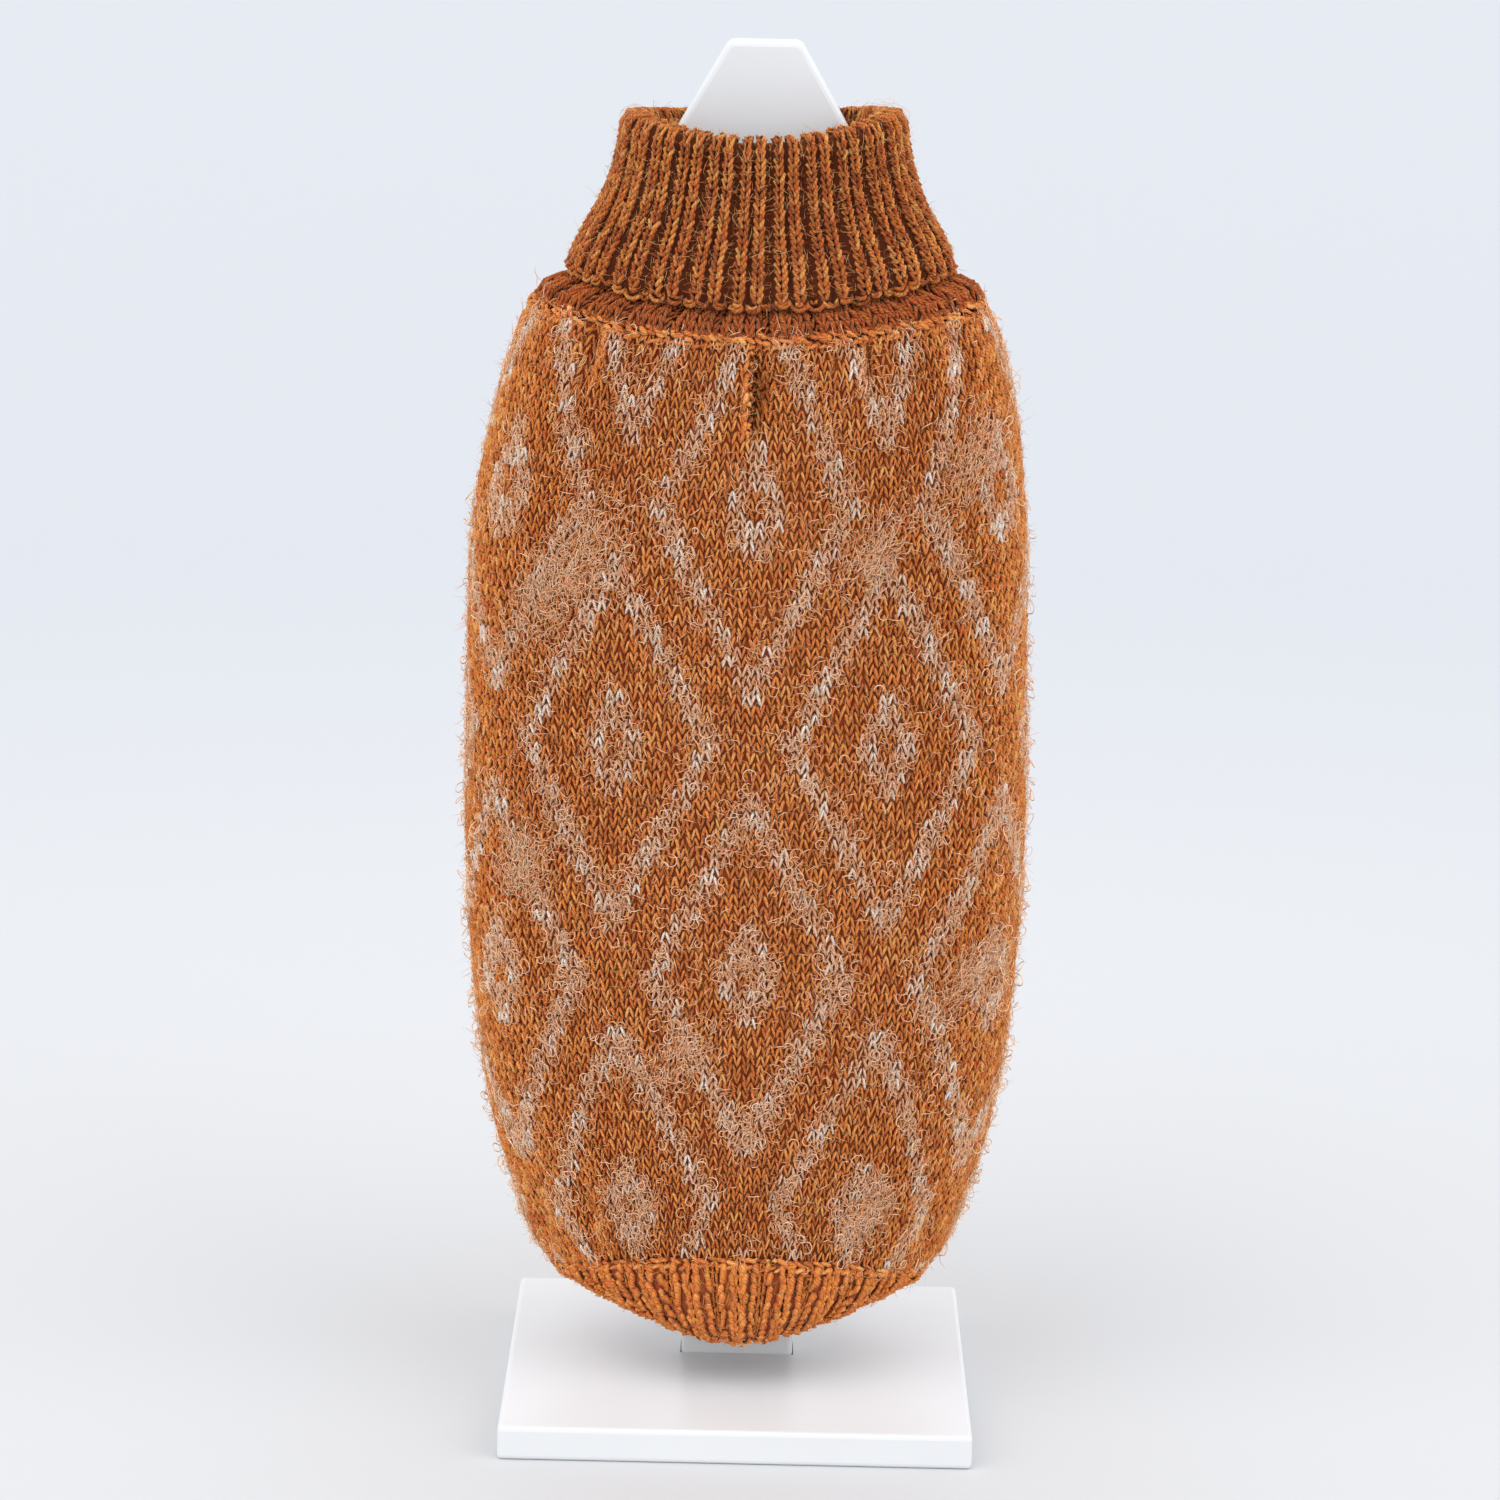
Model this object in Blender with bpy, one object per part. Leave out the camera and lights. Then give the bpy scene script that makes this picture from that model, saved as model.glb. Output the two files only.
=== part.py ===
"""A hand-knitted turtleneck sweater for a small dog, pulled over a flat display stand.

The stand is a square base with an upright board, whose sloping shoulders carry the sweater at its
neck. The sweater keeps the hollow form that it is worn in: a wide tube of two knitted panels, a
ribbed collar that stands up and is turned down over itself, a ribbed hem that draws the lower
opening in, and two leg openings with cuffs in the belly panel.

Units are metres. The origin is the middle of the base's underside, +Z is up, and the sweater's
back faces -Y. An angle around the sweater is 0 in the middle of the back, 90 degrees at +X and
180 degrees in the middle of the belly.
"""

import math
from collections import namedtuple

import bmesh
import bpy
import numpy as np

# ---------------------------------------------------------------- driving dimensions

BASE_SIDE = 0.150
BASE_THICKNESS = 0.011
BASE_EDGE = 0.0015
SOCKET_DEPTH = 0.006

BOARD_THICKNESS = 0.012
BOARD_TOP = 0.441
BOARD_TOP_WIDTH = 0.0226
BOARD_BODY_WIDTH = 0.132
BOARD_TAB_WIDTH = 0.0366
BOARD_TAB_TOP = 0.080
BOARD_FLARE_TOP = 0.124
BOARD_SHOULDER_TILT = math.radians(30.0)
BOARD_FLARE_RADIUS = 0.012
BOARD_BODY_RADIUS = 0.020
BOARD_TOP_RADIUS = 0.0035
BOARD_EDGE = 0.0018

CLEARANCE = 0.0003
SEAM_GAP = 0.0005
BODY_WALL = 0.0022
RIB_WALL = 0.0024
RIB_RAISE = 0.0012
RIB_UNITS = 24
RIB_EDGES = (0.03, 0.60, 0.70, 0.93)
RIB_HEIGHTS = (1.0, 1.0, 0.0, 0.0)
COLLAR_FIRST_RIB = 0.0154
HEM_FIRST_RIB = -0.0140

CUFF_SIDES = 20
CUFF_WALL = 0.0020
CUFF_LENGTH = 0.013
CUFF_DRAW_IN = 0.90
LEG_OPENING_WIDTH = 0.040
LEG_OPENING_HEIGHT = 0.048
LEG_OPENING_PLACE = (0.040, 0.302)
LEG_CUTTER_PLACE = 0.051
LEG_CUTTER_LENGTH = 0.050

MIDDLE = BOARD_THICKNESS / 2
SIDE_SEAM = math.radians(120.0)
SEAM_HALF_ANGLE = 0.0035

WOOL = ("rust wool", (0.52, 0.19, 0.045, 1.0), 0.95)
WHITE_PAINT = ("white paint", (0.86, 0.86, 0.87, 1.0), 0.35)

# The body's outer face: its half width at the sides, how far it stands in front of the board's
# middle plane on the back and behind it on the belly, and how far it sags to +X. From the hem up.
Section = namedtuple("Section", "height half_width back_depth belly_depth sag")
BODY_SECTIONS = (
    Section(0.0400, 0.0585, 0.0450, 0.0390, 0.0000),
    Section(0.0440, 0.0622, 0.0454, 0.0393, 0.0000),
    Section(0.0490, 0.0662, 0.0457, 0.0396, 0.0000),
    Section(0.0560, 0.0696, 0.0460, 0.0400, -0.0001),
    Section(0.0690, 0.0740, 0.0464, 0.0407, -0.0002),
    Section(0.0890, 0.0799, 0.0470, 0.0416, -0.0003),
    Section(0.1100, 0.0841, 0.0474, 0.0424, -0.0004),
    Section(0.1370, 0.0869, 0.0477, 0.0430, -0.0006),
    Section(0.1700, 0.0891, 0.0478, 0.0434, -0.0009),
    Section(0.2100, 0.0895, 0.0477, 0.0434, -0.0012),
    Section(0.2500, 0.0887, 0.0474, 0.0431, -0.0017),
    Section(0.2750, 0.0884, 0.0470, 0.0427, -0.0019),
    Section(0.3000, 0.0861, 0.0464, 0.0421, -0.0014),
    Section(0.3200, 0.0829, 0.0459, 0.0415, -0.0007),
    Section(0.3390, 0.0787, 0.0453, 0.0408, -0.0002),
    Section(0.3500, 0.0754, 0.0448, 0.0403, 0.0000),
    Section(0.3560, 0.0727, 0.0443, 0.0398, 0.0000),
    Section(0.3610, 0.0698, 0.0438, 0.0393, 0.0000),
)

# A seam or edge that runs around the body: its height at the sides, how much higher it lies in
# the middle of the back and of the belly and at +X, and how narrow those rises are.
Seam = namedtuple("Seam", "height back_rise belly_rise tilt narrowness")
NECK_TILT = 0.0010
NECK_SEAM = Seam(0.3588, -0.0073, -0.0029, NECK_TILT, 2)
HEM_SEAM = Seam(0.0430, 0.0145, 0.0490, 0.0, 2)
HEM_EDGE = Seam(0.0380, -0.0106, 0.0300, 0.0, 3)

# The hem's lower edge, drawn in from the body.
HEM_EDGE_SECTION = Section(HEM_EDGE.height, 0.0405, 0.0380, 0.0340, 0.0)
HEM_TOP_SECTION = Section(HEM_SEAM.height, 0.0620, 0.0460, 0.0410, 0.0)
HEM_SHARES = (0.0, 0.16, 0.36, 0.58, 0.80, 1.0)
HEM_BULGE = 1.5

# The collar's wall, along its middle, from the neck seam up, over the fold and down again. The
# drop is how much lower the row lies in the middle of the back. Ribs show on the face that looks
# out of the sweater: the near face of the neck band, then the far face of the turned-down part.
Turn = namedtuple("Turn", "height half_width back_depth belly_depth drop near_ribs far_ribs")
COLLAR_TURNS = (
    Turn(0.3593, 0.0683, 0.0426, 0.0384, 0.0073, 1.0, 0.0),
    Turn(0.3617, 0.0677, 0.0424, 0.0382, 0.0074, 1.0, 0.0),
    Turn(0.3638, 0.0646, 0.0413, 0.0374, 0.0075, 0.6, 0.0),
    Turn(0.3648, 0.0604, 0.0394, 0.0360, 0.0076, 0.0, 0.0),
    Turn(0.3667, 0.0572, 0.0374, 0.0346, 0.0077, 0.0, 0.0),
    Turn(0.3722, 0.0541, 0.0358, 0.0331, 0.0077, 0.0, 0.0),
    Turn(0.3905, 0.0450, 0.0325, 0.0300, 0.0068, 0.0, 0.0),
    Turn(0.4095, 0.0390, 0.0294, 0.0272, 0.0060, 0.0, 0.0),
    Turn(0.4145, 0.0382, 0.0288, 0.0266, 0.0060, 0.0, 0.4),
    Turn(0.4166, 0.0388, 0.0294, 0.0272, 0.0060, 0.0, 0.8),
    Turn(0.4173, 0.0402, 0.0308, 0.0286, 0.0060, 0.0, 1.0),
    Turn(0.4162, 0.0416, 0.0323, 0.0300, 0.0060, 0.0, 1.0),
    Turn(0.4115, 0.0424, 0.0330, 0.0307, 0.0060, 0.0, 1.0),
    Turn(0.4010, 0.0445, 0.0347, 0.0323, 0.0062, 0.0, 1.0),
    Turn(0.3890, 0.0491, 0.0365, 0.0340, 0.0068, 0.0, 1.0),
    Turn(0.3800, 0.0543, 0.0381, 0.0354, 0.0073, 0.0, 1.0),
    Turn(0.3740, 0.0572, 0.0393, 0.0365, 0.0077, 0.0, 1.0),
    Turn(0.3686, 0.0585, 0.0399, 0.0370, 0.0078, 0.0, 1.0),
)

BELLY_DROP = 0.4

# The puckers where the wide body is gathered into the neck seam: where around the seam, how deep
# and how wide, and how far below the seam each starts and how long it runs.
Gather = namedtuple("Gather", "degrees depth half_width start length")
GATHERS = (
    Gather(-44.0, 0.0034, 0.0045, -0.010, 0.036),
    Gather(-23.0, 0.0014, 0.0060, -0.012, 0.034),
    Gather(-2.5, 0.0046, 0.0036, 0.000, 0.032),
    Gather(28.0, 0.0036, 0.0045, -0.008, 0.034),
    Gather(55.0, 0.0014, 0.0060, -0.012, 0.036),
    Gather(150.0, 0.0026, 0.0050, -0.010, 0.034),
    Gather(184.0, 0.0030, 0.0045, -0.010, 0.034),
    Gather(213.0, 0.0022, 0.0050, -0.010, 0.034),
)
GATHER_COLUMNS = (-1.6, -0.8, 0.0, 0.8, 1.6)
PLAIN_COLUMN_STEP = math.radians(9.0)
LEAST_COLUMN_STEP = math.radians(1.5)


# ---------------------------------------------------------------- the forms around the sweater


def smooth_row(table, height):
    """The sizes of a section at any height, on a smooth curve through the rows of a table."""
    rows = np.array(table)
    heights = rows[:, 0]
    height = np.asarray(height, float)
    above = np.clip(np.searchsorted(heights, height), 1, len(heights) - 1)
    below = above - 1
    span = heights[above] - heights[below]
    share = np.clip((height - heights[below]) / span, 0.0, 1.0)
    results = []
    for column in range(1, rows.shape[1]):
        values = rows[:, column]
        slopes = np.gradient(values, heights)
        results.append(
            values[below] * (1 + 2 * share) * (1 - share) ** 2
            + values[above] * (3 - 2 * share) * share**2
            + slopes[below] * span * share * (1 - share) ** 2
            - slopes[above] * span * share**2 * (1 - share)
        )
    return results


def seam_height(seam, angle):
    """The height of a seam at an angle around the sweater."""
    rise = np.where(np.cos(angle) > 0, seam.back_rise, seam.belly_rise)
    return seam.height + rise * np.abs(np.cos(angle)) ** seam.narrowness + seam.tilt * np.sin(angle)


def ring(angle, half_width, back_depth, belly_depth, sag=0.0):
    """X and Y on a section: half an ellipse towards the back, half of another to the belly."""
    depth = np.where(np.cos(angle) > 0, back_depth, belly_depth)
    return sag + half_width * np.sin(angle), MIDDLE - depth * np.cos(angle)


def even_angles(section, first_share):
    """Angles of the rib edges, one unit of ribs after another, evenly along a section."""
    fine = np.linspace(0.0, 2 * math.pi, 1441)
    x, y = ring(fine, section.half_width, section.back_depth, section.belly_depth)
    length = np.concatenate([[0.0], np.cumsum(np.hypot(np.diff(x), np.diff(y)))])
    places = np.add.outer(np.arange(RIB_UNITS), RIB_EDGES).reshape(-1) / RIB_UNITS
    return np.interp((places + first_share) % 1.0 * length[-1], length, fine)


def pucker(angle, height):
    """How far the gathers pull the body's wall in at a point."""
    below = seam_height(NECK_SEAM, angle) - height
    depth = np.zeros(np.broadcast(angle, height).shape)
    for gather in GATHERS:
        turn = np.angle(np.exp(1j * (angle - math.radians(gather.degrees))))
        x_speed = BODY_SECTIONS[-1].half_width * math.cos(math.radians(gather.degrees))
        y_speed = BODY_SECTIONS[-1].back_depth * math.sin(math.radians(gather.degrees))
        across = turn * math.hypot(x_speed, y_speed) / gather.half_width
        along = np.clip((below - gather.start) / gather.length, 0.0, 1.0)
        depth += gather.depth * np.exp(-(across**2)) * np.sin(math.pi * along) ** 2
    return depth


def body_point(angle, share):
    """A point of the body's outer face, share of the way from the neck seam to the hem seam."""
    top = seam_height(NECK_SEAM, angle)
    bottom = seam_height(HEM_SEAM, angle)
    height = top + (bottom - top) * share
    half_width, back_depth, belly_depth, sag = smooth_row(BODY_SECTIONS, height)
    x, y = ring(angle, half_width, back_depth, belly_depth, sag)
    depth = np.where(np.cos(angle) > 0, back_depth, belly_depth)
    out_x = np.sin(angle) * depth
    out_y = -np.cos(angle) * half_width
    pull = pucker(angle, height) / np.hypot(out_x, out_y)
    return np.stack([x - out_x * pull, y - out_y * pull, height], axis=-1)


def unit(vectors):
    """Vectors of the same directions, one metre long."""
    return vectors / np.linalg.norm(vectors, axis=-1, keepdims=True)


def body_walls(angles, shares):
    """The outer and inner faces of a stretch of the body, as grids of rows by columns."""
    angle, share = np.meshgrid(angles, shares)
    step = 0.002  # a small turn, or share of the way down, to feel the slope with
    across = body_point(angle + step, share) - body_point(angle - step, share)
    down = body_point(angle, share + step) - body_point(angle, share - step)
    outer = body_point(angle, share)
    inner = outer - unit(np.cross(down, across)) * BODY_WALL
    return outer, inner


def tube_normals(grid):
    """Outward normals of a tube of rows by columns whose rows run down the tube."""
    down = np.gradient(grid, axis=0)
    across = np.roll(grid, -1, axis=1) - np.roll(grid, 1, axis=1)
    return unit(np.cross(down, across))


def level(normals):
    """The same normals laid horizontal, for the row that meets a seam squarely."""
    return unit(normals * np.array([1.0, 1.0, 0.0]))


# ---------------------------------------------------------------- meshes


def material(finish):
    """The material of a finish, made the first time that it is asked for."""
    name, colour, roughness = finish
    found = bpy.data.materials.get(name)
    if found:
        return found
    made = bpy.data.materials.new(name)
    made.use_nodes = True
    surface = made.node_tree.nodes["Principled BSDF"]
    surface.inputs["Base Color"].default_value = colour
    surface.inputs["Roughness"].default_value = roughness
    surface.inputs["Metallic"].default_value = 0.0
    return made


def add_object(name, mesh, finish):
    """Puts a mesh in the scene as a part of the product."""
    part = bpy.data.objects.new(name, mesh)
    part.data.materials.append(material(finish))
    bpy.context.scene.collection.objects.link(part)
    return part


def cloth_wall(name, outer, inner, closed):
    """A wall of cloth between two grids of points, with its edges joined; closed goes round."""
    rows, columns = outer.shape[:2]
    points = np.concatenate([outer.reshape(-1, 3), inner.reshape(-1, 3)])
    last = columns if closed else columns - 1
    inside = rows * columns

    def at(row, column):
        return row * columns + column % columns

    faces = []
    for row in range(rows - 1):
        for column in range(last):
            near = (at(row, column), at(row + 1, column))
            patch = (*near, at(row + 1, column + 1), at(row, column + 1))
            faces.append(patch)
            faces.append(tuple(inside + corner for corner in reversed(patch)))
    for column in range(last):
        for row in (0, rows - 1):
            edge = (at(row, column), at(row, column + 1))
            faces.append((edge[0], edge[1], inside + edge[1], inside + edge[0]))
    if not closed:
        for row in range(rows - 1):
            for column in (0, columns - 1):
                edge = (at(row, column), at(row + 1, column))
                faces.append((edge[0], edge[1], inside + edge[1], inside + edge[0]))
    mesh = bpy.data.meshes.new(name)
    mesh.from_pydata([tuple(point) for point in points], [], faces)
    shape = bmesh.new()
    shape.from_mesh(mesh)
    bmesh.ops.recalc_face_normals(shape, faces=shape.faces)
    shape.to_mesh(mesh)
    shape.free()
    mesh.shade_smooth()
    mesh.set_sharp_from_angle(angle=math.radians(60.0))
    return add_object(name, mesh, WOOL)


def panel_columns(first, last):
    """Angles of a panel's columns: an even spread, closer where it is gathered."""
    plain = np.linspace(first, last, round((last - first) / PLAIN_COLUMN_STEP) + 1)
    close = []
    for gather in GATHERS:
        middle = math.radians(gather.degrees)
        for place in GATHER_COLUMNS:
            close.append(middle + place * gather.half_width / BODY_SECTIONS[-1].half_width)
    close = [angle for angle in close if first < angle < last]

    def has_room(angle):
        return min(abs(angle - other) for other in close) > LEAST_COLUMN_STEP

    kept = [angle for angle in plain if angle in (first, last) or has_room(angle)]
    return np.array(sorted(kept + close))


def panel_rows():
    """Shares of the way down the body: close below the neck seam and towards the hem."""
    gathered = np.linspace(0.0, 0.09, 7)
    rest = np.sin(np.linspace(0.0, math.pi / 2, 10)[1:])
    return np.concatenate([gathered, gathered[-1] + (1 - gathered[-1]) * rest])


# ---------------------------------------------------------------- the sweater's pieces


def make_panels():
    """The wide back panel, and the narrower belly panel, sewn to it along two side seams."""
    edge = SIDE_SEAM - SEAM_HALF_ANGLE
    back = body_walls(panel_columns(-edge, edge), panel_rows())
    cloth_wall("back_panel", *back, closed=False)
    edge = SIDE_SEAM + SEAM_HALF_ANGLE
    belly = body_walls(panel_columns(edge, 2 * math.pi - edge), panel_rows())
    return cloth_wall("belly_panel", *belly, closed=False)


def rib_tube(name, angles, rows, near_ribs, far_ribs, near_wall, far_wall):
    """A ribbed tube around the sweater.

    rows gives the points of each row at the angles of the rib edges. A row's wall reaches
    near_wall to the face that looks out at the first row and far_wall to the other face, and its
    ribs rise further on either. The row at the seam is squared off level.
    """
    grid = np.stack([row(angles) for row in rows])
    normals = tube_normals(grid)
    if rows_climb(grid):
        normals = -normals
    normals[0] = level(normals[0])
    raised = np.tile(RIB_HEIGHTS, RIB_UNITS)
    near = near_wall + RIB_RAISE * np.outer(near_ribs, raised)
    far = far_wall + RIB_RAISE * np.outer(far_ribs, raised)
    near_face = grid + normals * near[..., None]
    far_face = grid - normals * far[..., None]
    return cloth_wall(name, near_face, far_face, closed=True)


def rows_climb(grid):
    """Whether a tube's rows start by going up from its first one."""
    return grid[1, 0, 2] > grid[0, 0, 2]


def collar_row(turn):
    """A row of the collar, all at one turn of its wall."""

    def points(angles):
        x, y = ring(angles, turn.half_width, turn.back_depth, turn.belly_depth)
        drop = Seam(turn.height, -turn.drop, -BELLY_DROP * turn.drop, NECK_TILT, 2)
        return np.stack([x, y, seam_height(drop, angles)], axis=-1)

    return points


def make_collar():
    """The tall ribbed collar: a neck band, an inner layer, the fold and a turned-down layer."""
    rib_tube(
        "turtleneck_collar",
        even_angles(COLLAR_TURNS[-4], COLLAR_FIRST_RIB),
        rows=[collar_row(turn) for turn in COLLAR_TURNS],
        near_ribs=[turn.near_ribs for turn in COLLAR_TURNS],
        far_ribs=[turn.far_ribs for turn in COLLAR_TURNS],
        near_wall=RIB_WALL / 2,
        far_wall=RIB_WALL / 2,
    )


def hem_row(share):
    """A row of the hem: it leaves the seam straight down, then turns in under the body."""
    inwards = share**HEM_BULGE
    down = math.sin(share * math.pi / 2)

    def points(angles):
        seam = seam_height(HEM_SEAM, angles) - SEAM_GAP
        from_sizes = smooth_row(BODY_SECTIONS, seam)
        to_sizes = HEM_EDGE_SECTION[1:]
        sizes = [a + (b - a) * inwards for a, b in zip(from_sizes, to_sizes)]
        x, y = ring(angles, *sizes)
        height = seam + (seam_height(HEM_EDGE, angles) - seam) * down
        return np.stack([x, y, height], axis=-1)

    return points


def make_hem():
    """The ribbed hem, which draws the lower opening in like the mouth of a pouch."""
    rib_tube(
        "hem_rib",
        even_angles(HEM_TOP_SECTION, HEM_FIRST_RIB),
        rows=[hem_row(share) for share in HEM_SHARES],
        near_ribs=[0.5] + [1.0] * (len(HEM_SHARES) - 1),
        far_ribs=[0.0] * len(HEM_SHARES),
        near_wall=0.0,
        far_wall=RIB_WALL,
    )


def make_leg_cuff(name, side):
    """A plain band picked up around a leg opening, which stands out of the belly panel."""
    angles = np.linspace(0.0, 2 * math.pi, CUFF_SIDES, endpoint=False)
    faces = []
    for wall in (0.0, CUFF_WALL):
        rows = []
        for share in (-BODY_WALL / CUFF_LENGTH, 0.0, 0.5, 1.0):
            narrowing = 1 - (1 - CUFF_DRAW_IN) * max(share, 0.0)
            x = LEG_OPENING_PLACE[0] + (LEG_OPENING_WIDTH / 2 * narrowing - wall) * np.cos(angles)
            z = LEG_OPENING_PLACE[1] + (LEG_OPENING_HEIGHT / 2 * narrowing - wall) * np.sin(angles)
            half_width, _, belly_depth, _ = smooth_row(BODY_SECTIONS, z)
            y = MIDDLE + belly_depth * np.sqrt(1 - (x / half_width) ** 2) + share * CUFF_LENGTH
            rows.append(np.stack([side * x, y, z], axis=-1))
        faces.append(np.stack(rows))
    return cloth_wall(name, faces[0], faces[1], closed=True)


def cut_leg_opening(panel, side):
    """Cuts the hole that a cuff stands in, clear of the cuff all round."""
    bpy.ops.mesh.primitive_cylinder_add(
        vertices=CUFF_SIDES,
        radius=1.0,
        depth=1.0,
        location=(side * LEG_OPENING_PLACE[0], LEG_CUTTER_PLACE, LEG_OPENING_PLACE[1]),
        rotation=(math.pi / 2, 0.0, 0.0),
    )
    cutter = bpy.context.active_object
    cutter.name = "cutter_leg"
    half_width = LEG_OPENING_WIDTH / 2 + CLEARANCE
    half_height = LEG_OPENING_HEIGHT / 2 + CLEARANCE
    cutter.scale = (half_width, half_height, LEG_CUTTER_LENGTH)
    cutter.hide_render = True
    cutter.display_type = "WIRE"
    cut = panel.modifiers.new("leg opening", "BOOLEAN")
    cut.operation = "DIFFERENCE"
    cut.object = cutter


# ---------------------------------------------------------------- the stand


def rounded_corners(corners):
    """An outline's points with each corner (x, z, radius) turned into an arc."""
    outline = []
    for index, (x, z, radius) in enumerate(corners):
        before = np.array(corners[index - 1][:2])
        corner = np.array([x, z])
        after = np.array(corners[(index + 1) % len(corners)][:2])
        if radius == 0:
            outline.append(corner)
            continue
        to_before = (before - corner) / np.linalg.norm(before - corner)
        to_after = (after - corner) / np.linalg.norm(after - corner)
        half_turn = math.acos(np.clip(to_before @ to_after, -1.0, 1.0)) / 2
        bisector = (to_before + to_after) / np.linalg.norm(to_before + to_after)
        centre = corner + bisector * radius / math.sin(half_turn)
        start = corner + to_before * radius / math.tan(half_turn) - centre
        end = corner + to_after * radius / math.tan(half_turn) - centre
        for share in np.linspace(0.0, 1.0, 6):
            chord = start * (1 - share) + end * share
            outline.append(centre + chord * radius / np.linalg.norm(chord))
    return outline


def make_board():
    """The upright board: a tab, a flared body and shoulders that slope to a narrow flat top."""
    tab, body, top = BOARD_TAB_WIDTH / 2, BOARD_BODY_WIDTH / 2, BOARD_TOP_WIDTH / 2
    foot = BASE_THICKNESS - SOCKET_DEPTH + CLEARANCE
    shoulder = BOARD_TOP - (body - top) / math.tan(BOARD_SHOULDER_TILT)
    right = [
        (tab, foot, 0.0),
        (tab, BOARD_TAB_TOP, BOARD_FLARE_RADIUS),
        (body, BOARD_FLARE_TOP, BOARD_BODY_RADIUS),
        (body, shoulder, BOARD_BODY_RADIUS),
        (top, BOARD_TOP, BOARD_TOP_RADIUS),
    ]
    left = [(-x, z, radius) for x, z, radius in reversed(right)]
    outline = rounded_corners(right + left)
    shape = bmesh.new()
    face = shape.faces.new([shape.verts.new((x, 0.0, z)) for x, z in outline])
    sweep = bmesh.ops.extrude_face_region(shape, geom=[face])
    moved = [item for item in sweep["geom"] if isinstance(item, bmesh.types.BMVert)]
    bmesh.ops.translate(shape, vec=(0.0, BOARD_THICKNESS, 0.0), verts=moved)
    bmesh.ops.recalc_face_normals(shape, faces=shape.faces)
    mesh = bpy.data.meshes.new("stand_board")
    shape.to_mesh(mesh)
    shape.free()
    board = add_object("stand_board", mesh, WHITE_PAINT)
    soften(board, BOARD_EDGE)


def soften(part, width):
    """Rounds a piece's sharp edges."""
    edge = part.modifiers.new("rounded edges", "BEVEL")
    edge.width = width
    edge.segments = 3
    edge.limit_method = "ANGLE"
    edge.angle_limit = math.radians(50.0)


def box_mesh(name, size, middle):
    """A plain block of a size around a middle point."""
    shape = bmesh.new()
    bmesh.ops.create_cube(shape, size=1.0)
    for vertex in shape.verts:
        vertex.co = [centre + part * length for centre, part, length in zip(middle, vertex.co, size)]
    mesh = bpy.data.meshes.new(name)
    shape.to_mesh(mesh)
    shape.free()
    return mesh


def make_base():
    """The square base, with a socket that the board's tab stands in."""
    size = (BASE_SIDE, BASE_SIDE, BASE_THICKNESS)
    mesh = box_mesh("stand_base", size, (0.0, 0.0, BASE_THICKNESS / 2))
    base = add_object("stand_base", mesh, WHITE_PAINT)
    soften(base, BASE_EDGE)
    hole = (BOARD_TAB_WIDTH + 2 * CLEARANCE, BOARD_THICKNESS + 2 * CLEARANCE, 2 * SOCKET_DEPTH)
    mesh = box_mesh("cutter_socket", hole, (0.0, MIDDLE, BASE_THICKNESS))
    socket = add_object("cutter_socket", mesh, WHITE_PAINT)
    socket.hide_render = True
    socket.display_type = "WIRE"
    cut = base.modifiers.new("socket", "BOOLEAN")
    cut.operation = "DIFFERENCE"
    cut.object = socket


def main():
    for old in list(bpy.data.objects):
        bpy.data.objects.remove(old, do_unlink=True)
    belly = make_panels()
    make_collar()
    make_hem()
    for name, side in (("leg_cuff_left", -1.0), ("leg_cuff_right", 1.0)):
        make_leg_cuff(name, side)
        cut_leg_opening(belly, side)
    make_board()
    make_base()


main()
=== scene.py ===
# %% [markdown]
# # A hand-knitted dog sweater on a display stand
#
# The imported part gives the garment's true form as plain walls of cloth. This lesson dresses it as
# real knitting: a thin shaded ground, each stitch as two short strands of yarn, the ribs, seams and
# cast-off edges, and last the brushed haze and the loose hairs. The white stand keeps its solids.

import math
from collections import namedtuple
from functools import partial

import bpy
import numpy as np
from mathutils import Matrix


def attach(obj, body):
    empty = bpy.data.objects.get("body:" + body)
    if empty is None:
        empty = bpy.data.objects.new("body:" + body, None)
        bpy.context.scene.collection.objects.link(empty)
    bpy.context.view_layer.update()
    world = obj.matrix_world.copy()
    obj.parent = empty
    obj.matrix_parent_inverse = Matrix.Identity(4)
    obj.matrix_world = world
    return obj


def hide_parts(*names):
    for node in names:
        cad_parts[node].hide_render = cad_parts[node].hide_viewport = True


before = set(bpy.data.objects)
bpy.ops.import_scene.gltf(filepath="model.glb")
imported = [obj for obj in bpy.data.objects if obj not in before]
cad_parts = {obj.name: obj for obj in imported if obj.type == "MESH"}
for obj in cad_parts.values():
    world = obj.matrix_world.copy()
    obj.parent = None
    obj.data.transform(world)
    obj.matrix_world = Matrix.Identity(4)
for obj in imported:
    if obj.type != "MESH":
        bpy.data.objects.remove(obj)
bpy.ops.object.select_all(action="DESELECT")
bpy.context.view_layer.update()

# %% [markdown]
# ## The camera
#
# The camera looks slightly down at the sweater's back from a metre and a half away, through a long
# lens.

# %% Place the camera
CAMERA_PLACE = (0.0, -1.541, 0.548)
LOOKS_DOWN = 12.2
ROLLED = 1.27
LENS = 117.72
SENSOR = 36.0


def rotation(degrees, axis):
    """A turn around an axis."""
    return Matrix.Rotation(math.radians(degrees), 4, axis)


bpy.ops.object.camera_add()
camera = bpy.context.active_object
camera.data.sensor_width = SENSOR
camera.data.lens = LENS
turned = rotation(90.0 - LOOKS_DOWN, "X") @ rotation(ROLLED, "Z")
camera.matrix_world = Matrix.Translation(CAMERA_PLACE) @ turned
bpy.context.scene.camera = camera
bpy.context.scene.view_settings.view_transform = "Standard"
print("camera at", CAMERA_PLACE)

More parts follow.
